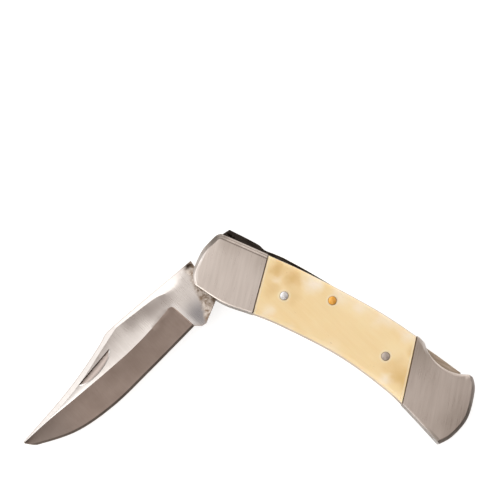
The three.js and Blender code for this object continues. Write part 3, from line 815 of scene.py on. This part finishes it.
# painted shade under the swedge, and painted highlights on the flat towards the tip and beside the plunge
FLAT_SHADE = (0.29, 0.25, 0.23)
FLAT_SHADE_PATCHES = [(-20, 6.4, 5.5, 0.75), (-26, 6.8, 5.5, 0.75), (-32, 7.4, 5, 0.6), (-24, 3.5, 5, 0.3)]
FLAT_HIGHLIGHT = (0.87, 0.845, 0.825)
PLUNGE_HIGHLIGHT = (0.76, 0.735, 0.72)
# painted shade on the ground bevel towards the tip
TIP_SHADE = (0.24, 0.205, 0.185)
# painted shade that greys the swedge by the tang
SWEDGE_HEEL_SHADE = (0.56, 0.515, 0.485)
NICK_SHADE = (0.24, 0.20, 0.18)
# painted highlight on the nick's curved rim, and a painted shadow under its straight wall
NICK_HIGHLIGHT = (0.86, 0.84, 0.82)
NICK_WALL_SHADOW = (0.07, 0.048, 0.036)
# painted shade line along the blade's outline
BLADE_OUTLINE_SHADE = (0.36, 0.29, 0.25)
# dark oxide and painted shade for the lock bar's recessed side
OXIDE_AND_SHADE = ((0.016, 0.012, 0.01), (0.05, 0.041, 0.034))
RUBBED = ((0.36, 0.28, 0.21), (0.55, 0.45, 0.36))
CREAM = ((0.867, 0.65, 0.335), (0.905, 0.712, 0.405))
LIGHT_FIBRE = (0.92, 0.74, 0.45)
OCHRE = (0.68, 0.43, 0.145)
PALE = (0.94, 0.83, 0.67)
PORE = (0.42, 0.25, 0.11)
TOP_EDGE_GREY = (0.50, 0.43, 0.40)
DRILLED = (0.93, 0.80, 0.60)
JOINT_GRIME = (0.14, 0.075, 0.035)
FIBRE_LEAN = -13


def feed(tree, socket, value):
    """Link a socket or set it. A colour comes without its alpha"""
    if isinstance(value, bpy.types.NodeSocket):
        tree.links.new(value, socket)
    else:
        socket.default_value = (*value, 1) if socket.type == "RGBA" else value


def add_node(tree, kind, output=0, inputs=(), **settings):
    """The output of a new shader node"""
    made = tree.nodes.new(f"ShaderNode{kind}")
    for setting, value in settings.items():
        setattr(made, setting, value)
    for socket, value in dict(inputs).items():
        feed(tree, made.inputs[socket], value)
    return made.outputs[output]


class Look:
    """A procedural material that measures in mm on the piece itself"""

    def __init__(self, name, turn=0, **constants):
        self.material = bpy.data.materials.new(name)
        self.material.use_nodes = True
        self.tree = self.material.node_tree
        self.shader = self.tree.nodes["Principled BSDF"].inputs
        for socket, value in constants.items():
            feed(self.tree, self.shader[socket.replace("_", " ")], value)
        self.place = self.node("TexCoord", "Object")
        if turn:
            rotation = (0, 0, math.radians(-turn))
            self.place = self.node("Mapping", 0, {"Vector": self.place, "Rotation": rotation})

    def node(self, kind, output=0, inputs=(), **settings):
        return add_node(self.tree, kind, output, inputs, **settings)

    def grid(self, size, turn=0, offset=(0, 0, 0)):
        """The piece's own coordinates, turned about Z and counted in steps of a size in mm"""
        inputs = {"Vector": self.place, "Location": [part * MM for part in offset],
                  "Rotation": (0, 0, math.radians(turn)), "Scale": [part * MM for part in size]}
        return self.node("Mapping", 0, inputs, vector_type="TEXTURE")

    def noise(self, size, turn=0, offset=(0, 0, 0), detail=2.0, roughness=0.5, distortion=0.0, output=0):
        inputs = {"Vector": self.grid(size, turn, offset), "Scale": 1.0, "Detail": detail,
                  "Roughness": roughness, "Distortion": distortion}
        return self.node("TexNoise", output, inputs)

    def ramp(self, value, start, end, low=0.0, high=1.0):
        """low where the value is up to start, high from end on, and smooth between"""
        inputs = {"Value": value, "From Min": start, "From Max": end, "To Min": low, "To Max": high}
        return self.node("MapRange", 0, inputs, interpolation_type="SMOOTHSTEP")

    def math(self, operation, *values):
        return self.node("Math", 0, enumerate(values), operation=operation)

    def times(self, first, second):
        return self.math("MULTIPLY", first, second)

    def sum(self, *weighted):
        """The sum of values by their weights"""
        total = 0.0
        for value, weight in weighted:
            total = self.math("MULTIPLY_ADD", value, weight, total)
        return total

    def vector(self, operation, *values, output=0):
        return self.node("VectorMath", output, enumerate(values), operation=operation)

    def mix(self, factor, first, second):
        return self.node("Mix", 2, {0: factor, 6: first, 7: second}, data_type="RGBA")

    def attribute(self, name):
        return self.node("Attribute", "Fac", attribute_name=name)

    def axis(self, name):
        """One of the piece's own coordinates in mm"""
        return self.times(self.node("SeparateXYZ", name, {0: self.place}), 1 / MM)

    def level(self):
        """The piece's own coordinates in mm, at height 0"""
        return self.vector("MULTIPLY", self.place, (1 / MM, 1 / MM, 0))

    def tinted(self, color, patches, shade, places=None):
        """A colour mixed with a shade in some patches"""
        places = places or self.level()
        near = [(self.ramp(self.vector("DISTANCE", places, (x, y, 0), output="Value"), reach, 0.0), amount)
                for x, y, reach, amount in patches]
        return self.mix(self.math("MINIMUM", self.sum(*near), 1.0), color, shade)

    def finish(self, color, roughness, height=None, depth=0.0):
        """The finished material. The height is 0 to 1, and depth is what 1 stands for in mm"""
        feed(self.tree, self.shader["Base Color"], color)
        feed(self.tree, self.shader["Roughness"], roughness)
        if height is not None:
            bump = self.node("Bump", 0, {"Height": height, "Distance": depth * MM, "Strength": 1.0})
            feed(self.tree, self.shader["Normal"], bump)
        return self.material


def brushed_metal(name, dark, light, lean=0.0, fine=(0.17, 7.0), wear=None, grime_and_shadow=None, wall_shade=None,
                  pale_wall_shade=None, shaded=(), bevel_width=0.0, bevel_shade=(), bevel_highlight=(), lines=()):
    """Metal with streaks along one direction, worn edges, painted shade on its walls and in patches, painted
    shade and highlights on its bevel, painted shade lines on its facets, and grimy seams
    """
    look = Look(name, Metallic=1.0)
    rim, x, y = look.attribute("rim"), look.axis("X"), look.axis("Y")
    hair = look.noise((*fine, 1), lean, detail=3.0, roughness=0.6)
    streak = look.noise((fine[0] * 5, fine[1] * 2.2, 2), lean + 2)
    cloud = look.noise((8, 11, 5), lean, detail=1.5)
    tone = look.ramp(look.sum((hair, 0.32), (streak, 0.42), (cloud, 0.26)), 0.2, 0.8)
    color = look.mix(tone, dark, light)
    if wear:
        color = look.mix(look.ramp(look.sum((rim, 1.0), (cloud, 0.8)), 1.1, 0.4), color, wear)
    # painted shade in patches on the face
    if shaded:
        color = look.tinted(color, shaded, PATCH_SHADE)
    # painted shade and painted highlight patches on the bevel
    if bevel_width:
        toned = look.tinted(look.tinted(color, bevel_shade, BEVEL_SHADE), bevel_highlight, BEVEL_HIGHLIGHT)
        color = look.mix(look.ramp(rim, bevel_width + 0.1, bevel_width - 0.1), color, toned)
    # painted shade lines between the rim's facets
    for place, reach, amount in lines:
        away = look.math("ABSOLUTE", look.math("SUBTRACT", rim, place))
        line = look.times(look.ramp(away, reach, reach * 0.3), look.ramp(y, 6.8, 7.6))
        color = look.mix(look.times(line, amount), color, FACET_SHADE_LINE)
    # painted shade on the side walls, lighter along the liner under the scales
    if pale_wall_shade:
        under_scale = look.times(look.ramp(x, 12, 15), look.ramp(x, 66, 62))
        wall_shade = look.mix(under_scale, wall_shade, pale_wall_shade)
    if wall_shade:
        color = look.mix(look.ramp(rim, 0.07, 0.015), color, wall_shade)
    if grime_and_shadow:
        near_seam = look.sum((look.attribute("seam"), 1.0), (streak, 0.25))
        color = look.mix(look.ramp(near_seam, 0.32, 0.12), color, grime_and_shadow)
    rough = look.ramp(look.sum((hair, 0.7), (cloud, 0.3)), 0.3, 0.7, 0.26, 0.42)
    return look.finish(color, rough, streak, 0.003)


def blade_metal(name, dark, light, rough, fine, lean=0.0, depth=0.002, cloudiness=0.25, tang=False,
                dressed=None):
    """Ground steel, with lines across the blade and a painted shade line along its outline. The tang is left
    raw where the handle covers it, with painted shade on the heel beside it.
    dressed is a function of the look and its colour that adds what only one face has"""
    look = Look(name, turn=BLADE_TURN, Metallic=1.0)
    hair = look.noise((*fine, 1), lean, detail=3.0, roughness=0.6)
    height = streak = look.noise((fine[0] * 6, fine[1] * 2, 2), lean)
    cloud = look.noise((6, 4.5, 3), detail=2.5)
    tone = look.sum((hair, 0.45), (streak, 0.55 - cloudiness), (cloud, cloudiness))
    color = look.mix(look.ramp(tone, 0.22, 0.78), dark, light)
    rough = look.ramp(look.sum((hair, 0.5), (cloud, 0.5)), 0.3, 0.7, *rough)
    if tang:
        x, y = look.axis("X"), look.axis("Y")
        ragged = look.noise((2.2, 2.2, 2.2), detail=3.0)
        raw = look.ramp(look.sum((x, 1.0), (y, -0.36), (look.times(y, y), 0.012), (ragged, 2.4)), -10.9, -9.2)
        mottle = look.noise((1.3, 1.3, 1.3), detail=3.0, roughness=0.6, distortion=0.4)
        rust = look.mix(look.ramp(mottle, 0.35, 0.66), *RUST)
        # darker, nearly black patches by the tang's corners
        rust = look.tinted(rust, TANG_DARK_PATCHES, TANG_DARK)
        # painted shade on the heel beside the tang
        color = look.mix(raw, look.tinted(color, HEEL_SHADE_PATCHES, HEEL_SHADE), rust)
        rough = look.sum((rough, 1.0), (raw, 0.22))
        height = look.sum((height, 1.0), (look.times(raw, mottle), 3.0))
    if dressed:
        color = dressed(look, color)
    # a painted shade line along the blade's outline
    color = look.mix(look.ramp(look.attribute("rim"), 0.3, 0.05, 0.0, 0.75), color, BLADE_OUTLINE_SHADE)
    return look.finish(color, rough, height, depth)


def lit_flat(look, color):
    """Painted light on the flat: a highlight towards the tip and beside the plunge line, and painted shade
    under the swedge
    """
    x, y = look.axis("X"), look.axis("Y")
    color = look.mix(look.ramp(x, -44, -64), color, FLAT_HIGHLIGHT)
    color = look.tinted(color, FLAT_SHADE_PATCHES, FLAT_SHADE)
    beside = look.sum((x, 1.0), (y, 0.139), (1.0, 18.9))
    band = look.times(look.ramp(beside, 1.9, 0.5), look.ramp(beside, -0.6, 0.0))
    band = look.times(band, look.ramp(y, 3.6, 2.6))
    return look.mix(look.times(band, 0.4), color, PLUNGE_HIGHLIGHT)


# painted shade on the ground bevel, darker towards the tip
def shaded_tip(look, color):
    return look.mix(look.ramp(look.axis("X"), -58, -74, 0.0, 0.6), color, TIP_SHADE)


def soft_swedge(look, color):
    """Painted shade makes the swedge as grey as the flat by the tang"""
    return look.mix(look.ramp(look.axis("X"), -16, -9.5), color, SWEDGE_HEEL_SHADE)


def nick_shade(look, color):
    """Painted shade and a painted shadow under the nick's straight edge, and a painted highlight on its
    curved rim
    """
    across = look.node("SeparateXYZ", "X", {0: look.grid((1, 1, 1), NICK_TILT, (*NICK_CENTRE, 0))})
    down = look.math("SUBTRACT", NICK_WIDTH / 2, across.node.outputs["Y"])
    wide, deep = look.times(across, 2 / NICK_LENGTH), look.times(down, 1 / NICK_WIDTH)
    share = look.sum((look.times(wide, wide), 1.0), (look.times(deep, deep), 1.0))
    color = look.mix(look.ramp(down, 0.3, 1.5, 0.75, 0.0), color, NICK_SHADE)
    color = look.mix(look.ramp(share, 0.78, 0.97), color, NICK_HIGHLIGHT)
    spot = look.noise((0.5, 0.35, 1), NICK_TILT, detail=3.0)
    # a painted shadow under the straight wall, broken up by noise
    grime_and_shadow = look.ramp(look.sum((down, 1.0), (spot, 0.9)), 0.98, 0.7)
    return look.mix(look.times(grime_and_shadow, 0.9), color, NICK_WALL_SHADOW)


def bone(name, ochre, pale, shift):
    """Polished bone: cream with ochre and pale patches, fibres along it, a few pores, and grimy joints"""
    look = Look(name, Subsurface_Weight=0.12, Subsurface_Scale=0.002, Subsurface_Radius=(1.0, 0.6, 0.3),
                Coat_Weight=0.25, Coat_Roughness=0.15)
    offset = (shift, 0, 0)
    warp = look.vector("SUBTRACT", look.noise((6, 6, 6), 0, offset, 3.0, output="Color"), (0.5, 0.5, 0.5))
    places = look.vector("MULTIPLY_ADD", warp, (7, 7, 0), look.level())
    broad = look.noise((17, 8, 8), -12, offset, detail=3.0)
    fibre = look.noise((8, 0.32, 1.5), FIBRE_LEAN, offset, detail=4.0, roughness=0.6)
    band = look.noise((26, 1.6, 4), FIBRE_LEAN, offset)
    color = look.mix(look.ramp(broad, 0.35, 0.65), *CREAM)
    light = look.ramp(look.sum((fibre, 0.55), (band, 0.45)), 0.34, 0.66, 0.0, 0.3)
    color = look.mix(light, color, LIGHT_FIBRE)
    color = look.tinted(look.tinted(color, ochre, OCHRE, places), pale, PALE, places)

    # Pores: short dark dashes along the fibres, in a few places
    dash = look.noise((1.1, 0.28, 0.6), FIBRE_LEAN, (shift, 3, 0))
    where = look.noise((7, 4, 4), 0, (shift, 9, 0), detail=1.0)
    pore = look.times(look.ramp(dash, 0.66, 0.76), look.ramp(where, 0.56, 0.66))
    color = look.mix(look.times(pore, 0.55), color, PORE)

    # A grey line along the rear half of the top edge
    along = look.times(look.ramp(look.axis("Y"), 4, 7), look.ramp(look.axis("X"), 27, 38))
    edge = look.times(look.ramp(look.attribute("rim"), 0.34, 0.1), along)
    color = look.mix(look.times(edge, 0.8), color, TOP_EDGE_GREY)

    # A pale ring that the drill left round each pin, and dark grime in the joints
    seam = look.attribute("seam")
    ring = look.times(look.ramp(seam, 0.95, 0.5), look.ramp(seam, 0.1, 0.3))
    color = look.mix(look.times(ring, 0.45), color, DRILLED)
    grime_and_shadow = look.ramp(look.sum((seam, 1.0), (fibre, 0.2)), 0.3, 0.12, 0.0, 0.85)
    color = look.mix(grime_and_shadow, color, JOINT_GRIME)
    rough = look.sum((look.ramp(fibre, 0.3, 0.7, 0.3, 0.42), 1.0), (grime_and_shadow, 0.35), (pore, 0.3))
    return look.finish(color, rough, look.sum((fibre, 0.2), (pore, -1.2), (band, 0.1)), 0.012)


def pin_metal(name, dark, light, rim_grime_and_shadow, rough):
    """A pin sanded flush with the scale and rubbed bright, with grime and a painted shadow at its rim"""
    look = Look(name, Metallic=1.0)
    scratch = look.noise((0.09, 1.4, 1), 35, detail=3.0)
    spot = look.noise((0.8, 0.8, 0.8), detail=3.0)
    both = look.sum((scratch, 0.5), (spot, 0.5))
    radius = look.vector("LENGTH", look.level(), output="Value")
    # grime and a painted shadow of the gap round the head, at its rim
    rim = look.ramp(look.sum((radius, 1.0), (spot, 0.15)), HEAD_RADIUS - 0.12, HEAD_RADIUS + 0.08)
    color = look.mix(rim, look.mix(look.ramp(both, 0.35, 0.65), dark, light), rim_grime_and_shadow)
    height = look.sum((scratch, 0.6), (spot, 0.4))
    return look.finish(color, look.ramp(both, 0.3, 0.7, *rough), height, 0.003)


def lock_bar_metal(name):
    """Dark oxidised steel with painted shade on its recessed side, rubbed brown at the thumb end and along
    its edges
    """
    look = Look(name, Metallic=1.0)
    scratch = look.noise((5, 0.16, 0.5), detail=3.0)
    cloud = look.noise((3.5, 1.6, 2), detail=3.0)
    both = look.sum((scratch, 0.5), (cloud, 0.5))
    # dark oxide and painted shade on the recessed side
    dark = look.mix(look.ramp(both, 0.36, 0.64), *OXIDE_AND_SHADE)
    tan = look.mix(look.ramp(scratch, 0.36, 0.64), *RUBBED)
    rear = look.ramp(look.sum((look.axis("X"), 1.0), (cloud, 4.0)), 57, 63)
    worn = look.ramp(look.sum((look.attribute("rim"), 1.0), (cloud, 0.35)), 0.34, 0.16)
    color = look.mix(look.math("MAXIMUM", rear, look.times(worn, 0.12)), dark, tan)
    height = look.sum((scratch, 0.6), (cloud, 0.4))
    return look.finish(color, look.ramp(both, 0.3, 0.7, 0.34, 0.52), height, 0.006)


# The pieces with their finishes
front_look = brushed_metal(
    "bolster_front_brushed", (0.50, 0.44, 0.40), (0.62, 0.555, 0.51), 15,
    wear=WORN, grime_and_shadow=SEAM_GRIME, wall_shade=WALL_SHADE, bevel_width=1.5,
    shaded=[(9.5, 9.5, 9, 0.45), (-1, 9.5, 7, 0.35), (-4.5, 7, 4.5, 0.25)],
    bevel_shade=[(-8.3, 7, 5.5, 1.0), (-5.5, 9, 2.5, 0.5)],
    bevel_highlight=[(-8.8, -1, 4.5, 0.8), (-7, -6, 3, 0.4)],
    lines=[(0.64, 0.13, 0.9), (1.42, 0.28, 0.75)])  # where on the rim, how wide and how strong
rear_look = brushed_metal(
    "bolster_rear_brushed", (0.44, 0.38, 0.34), (0.56, 0.49, 0.445), 17.5,
    wear=WORN, grime_and_shadow=REAR_GRIME, wall_shade=WALL_SHADE, bevel_width=0.95,
    shaded=[(63, 9.5, 10, 0.8), (83, -3, 8, 0.25), (80, -11, 8, 0.3)],
    bevel_shade=[(85.5, -1, 6, 0.6), (84, -7, 6, 0.6), (81, -12, 6, 0.6)],
    bevel_highlight=[(64, 11, 4, 0.7)])
liner_look = brushed_metal("liner_satin", (0.44, 0.37, 0.32), (0.62, 0.54, 0.48), 90, wall_shade=WALL_SHADE,
                           pale_wall_shade=PALE_WALL_SHADE)
ground_look = brushed_metal("spacer_ground", (0.36, 0.32, 0.29), (0.55, 0.5, 0.46), 80, (0.25, 5))
spring_look = brushed_metal("spring_tempered", (0.20, 0.17, 0.16), (0.36, 0.31, 0.29), 81, (0.2, 6))
inner_look = brushed_metal("inner_pin_drawn", (0.40, 0.36, 0.33), (0.6, 0.55, 0.51), fine=(0.2, 0.8))

# Ochre patches, pale patches, and a shift of the fibres that makes the sides differ
BONE_PATCHES = {
    "left": (
        [(18.5, 7.6, 4.6, 0.75), (12.4, 8.2, 4.2, 0.8), (14.4, 3.0, 4.0, 0.45), (21.5, 3.6, 3.6, 0.35),
         (62.6, -2.6, 5.2, 0.75), (58.6, 0.6, 4.6, 0.4), (61.5, 6.6, 3.4, 0.5), (63, 1.6, 3, 0.4),
         (30, -6.8, 3, 0.2)],
        [(24.4, 9.4, 4.6, 0.95), (14.3, 5.7, 2.0, 0.4), (17.0, -4.1, 3.6, 0.55), (57.2, 10.4, 4.2, 0.7),
         (58.3, -4.4, 3.2, 0.7), (34, 12, 5, 0.6), (41, 12, 5, 0.6), (48, 11.6, 5, 0.6), (52, 11, 4, 0.5),
         (40, -6.5, 5, 0.35), (26, -7.5, 4, 0.35)],
        0.0),
    "right": (
        [(16.4, 8.9, 3.2, 0.6), (24.5, 2.0, 4.5, 0.6), (44.2, -3.6, 5.0, 0.55), (60.2, 9.4, 3.0, 0.75),
         (63.9, -6.4, 2.8, 0.6)],
        [(35.7, 8.4, 4.2, 0.7), (52.4, 4.0, 4.0, 0.6), (18.5, -2.2, 3.0, 0.6), (57.0, -5.2, 2.6, 0.5)],
        71.0),
}

for side in SIDES:
    bone_look = bone(f"bone_{side}", *BONE_PATCHES[side])
    for name, node, slot, rim_for, look in (
            ("bolster_front", "front_bolster", "bolster_metal", front_bolster_rim, front_look),
            ("bolster_rear", "rear_bolster", "bolster_metal", rear_bolster_rim, rear_look),
            ("bone_scale", "scale", "bone", scale_rim, bone_look)):
        piece = side_plate(f"{side}_{name}", f"{side}_{node}", side, rim_for, holes=node == "scale")
        finish_piece(piece, "handle", f"{side}_{node}", slot, look)
    liner = flat_plate(f"{side}_liner_plate", f"{side}_liner", PLATE_RIM)
    finish_piece(liner, "handle", f"{side}_liner", "liner_steel", liner_look)

spacer = flat_plate("rear_spacer_block", "rear_spacer", PLATE_RIM)
finish_piece(spacer, "handle", "rear_spacer", "hidden_steel", ground_look)
bar = flat_plate("lock_bar_ground", "lock_bar", BAR_RIM, grid=GRID_STEP)
finish_piece(bar, "lock_bar", "lock_bar", "dark_steel", lock_bar_metal("lock_bar_oxidised_and_shaded"))

spring = flat_plate("lock_spring_leaf", "lock_spring", PLATE_RIM, grid=GRID_STEP)
spring.data.materials.append(spring_look)
held, tip = (SPRING_FIXED_END * MM, 0, MIDDLE * MM), (SPRING_TIP * MM, 0, MIDDLE * MM)
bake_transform(spring)
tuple(held)
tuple(tip)
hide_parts("lock_spring")

blade_looks = [
    blade_metal("blade_flat", (0.54, 0.50, 0.47), (0.70, 0.655, 0.625), (0.24, 0.36), (0.16, 4.5), 6,
                tang=True, dressed=lit_flat),
    blade_metal("blade_ground", (0.365, 0.29, 0.252), (0.455, 0.37, 0.325), (0.28, 0.36), (0.12, 3.0), 4,
                cloudiness=0.4, dressed=shaded_tip),
    blade_metal("blade_honed", (0.19, 0.16, 0.14), (0.32, 0.28, 0.245), (0.32, 0.46), (0.11, 1.0), -18,
                depth=0.004),
    blade_metal("blade_swedge", (0.62, 0.585, 0.56), (0.74, 0.70, 0.67), (0.26, 0.36), (0.14, 3.0), 10,
                dressed=soft_swedge),
    blade_metal("blade_nick", (0.36, 0.30, 0.27), (0.46, 0.39, 0.355), (0.26, 0.4), (0.4, 0.12), NICK_TILT,
                dressed=nick_shade),
]
finish_piece(make_blade(), "blade", "blade", "blade_steel", *blade_looks)

bright_pin = pin_metal("pin_bright", (0.58, 0.57, 0.57), (0.86, 0.86, 0.87), (0.22, 0.2, 0.19), (0.2, 0.34))
grey_pin = pin_metal("pin_grey", (0.40, 0.345, 0.30), (0.56, 0.49, 0.44), (0.12, 0.095, 0.08), (0.3, 0.45))
brass_pin = pin_metal("pin_brass_rubbed", (0.78, 0.36, 0.06), (0.90, 0.50, 0.14), (0.34, 0.13, 0.03),
                      (0.28, 0.4))
for side in SIDES:
    for place, look in (("front", bright_pin), ("rear", grey_pin)):
        rivet = make_pin(f"{side}_rivet_{place}", f"{side}_{place}_scale_rivet", (side,))
        finish_piece(rivet, "handle", f"{side}_{place}_scale_rivet", "rivet_steel", look)
lock_pin = make_pin("lock_pin_brass", "lock_pivot_pin", SIDES)
finish_piece(lock_pin, "handle", "lock_pivot_pin", "pin_brass", brass_pin)

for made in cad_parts.values():
    if not made.hide_render:
        made.data.materials.clear()
        made.data.materials.append(inner_look)


# Floor, light and camera
RIGHT = Vector((math.cos(math.radians(VIEW_TURN)), math.sin(math.radians(VIEW_TURN)), 0))
UP = Vector((-RIGHT.y, RIGHT.x, 0))
CENTRE = Vector(VIEW_CENTRE) * MM
FLOOR_REACH = 4.0
FLOOR_LEVEL = -0.05 * MM
FLOOR_GLOW = 0.75  # a lit table, so that the shadows stay faint
PANEL_DISTANCE = 1.5
PANEL_WIDTH = 1.2
WORLD_STRENGTH = 2.6
BRIGHT_SIDE = 20  # degrees from the picture's left towards its top
# How bright the studio is from its dark side, -1, to its bright side, 1, and its tint
STUDIO = [
    (-1.0, 0.10, (1, 0.88, 0.80)),
    (-0.6, 0.15, (1, 0.87, 0.78)),
    (-0.36, 0.27, (1, 0.86, 0.77)),
    (-0.22, 0.44, (1, 0.87, 0.79)),
    (-0.08, 0.56, (1, 0.90, 0.84)),
    (0.03, 0.86, (1, 0.94, 0.90)),
    (0.13, 1.25, (1, 0.97, 0.94)),
    (0.24, 2.1, (1, 0.99, 0.98)),
    (0.44, 2.2, (1, 1, 1)),
    (0.6, 1.0, (1, 0.97, 0.95)),
    (0.8, 0.6, (1, 0.96, 0.92)),
    (1.0, 0.5, (1, 0.95, 0.90)),
]


def make_camera():
    tilt = math.radians(VIEW_TILT)
    back = -UP * math.sin(tilt) + Vector((0, 0, math.cos(tilt)))
    camera = new_object("camera", bpy.data.cameras.new("camera"))
    camera.data.lens = LENS
    camera.data.sensor_width = SENSOR
    camera.data.clip_end = 20
    axes = Matrix((RIGHT, back.cross(RIGHT), back)).transposed().to_4x4()
    camera.matrix_world = Matrix.Translation(CENTRE + back * VIEW_WIDTH * LENS / SENSOR * MM) @ axes
    bpy.context.scene.camera = camera


def make_floor():
    signs = ((-1, -1), (1, -1), (1, 1), (-1, 1))
    mesh = bpy.data.meshes.new("floor")
    mesh.from_pydata([(x * FLOOR_REACH, y * FLOOR_REACH, FLOOR_LEVEL) for x, y in signs], [], [(0, 1, 2, 3)])
    look = Look("floor_paper", Specular_IOR_Level=0.1, Emission_Strength=FLOOR_GLOW, Emission_Color=(1, 1, 1))
    grain = look.noise((0.6, 0.6, 0.6), detail=3.0)
    mesh.materials.append(look.finish((0.5, 0.5, 0.5), look.ramp(grain, 0.3, 0.7, 0.85, 0.95)))
    new_object("floor", mesh)


def make_studio():
    world = bpy.data.worlds.new("studio")
    world.use_nodes = True
    tree = world.node_tree
    bright = math.radians(BRIGHT_SIDE)
    toward = UP * math.sin(bright) - RIGHT * math.cos(bright)
    place = add_node(tree, "TexCoord", "Generated")
    side = add_node(tree, "VectorMath", "Value", {0: place, 1: toward}, operation="DOT_PRODUCT")
    share = add_node(tree, "MapRange", 0, {"Value": side, "From Min": -1})
    light = add_node(tree, "ValToRGB", 0, {"Fac": share})
    ramp = light.node.color_ramp
    ramp.interpolation = "EASE"
    while len(ramp.elements) < len(STUDIO):
        ramp.elements.new(0.5)
    for stop, (where, radiance, tint) in zip(ramp.elements, STUDIO):
        stop.position = (where + 1) / 2
        stop.color = (*[radiance / WORLD_STRENGTH * part for part in tint], 1)
    background = tree.nodes["Background"].inputs
    feed(tree, background["Color"], light)
    feed(tree, background["Strength"], WORLD_STRENGTH)
    bpy.context.scene.world = world


def panel(name, toward, lean, depth, radiance):
    """A soft light that hangs at an angle from the vertical, towards a direction of the picture"""
    angle = math.radians(lean)
    level = (RIGHT * toward[0] + UP * toward[1]).normalized()
    way = level * math.sin(angle) + Vector((0, 0, math.cos(angle)))
    made = new_object(name, bpy.data.lights.new(name, "AREA"))
    made.data.shape = "RECTANGLE"
    made.data.size, made.data.size_y = PANEL_WIDTH, depth
    made.data.energy = radiance * math.pi * PANEL_WIDTH * depth
    made.location = CENTRE + way * PANEL_DISTANCE
    made.rotation_mode = "QUATERNION"
    made.rotation_quaternion = way.to_track_quat("Z", "Y")


make_camera()
make_floor()
make_studio()
panel("top_strip", (0.25, 1), 62, 0.4, 1.2)
panel("low_strip", (-0.4, -1), 64, 0.4, 1.0)
panel("fill", (0.866, 0.5), 50, 0.6, 1.5)
bpy.context.scene.view_settings.view_transform = "Standard"
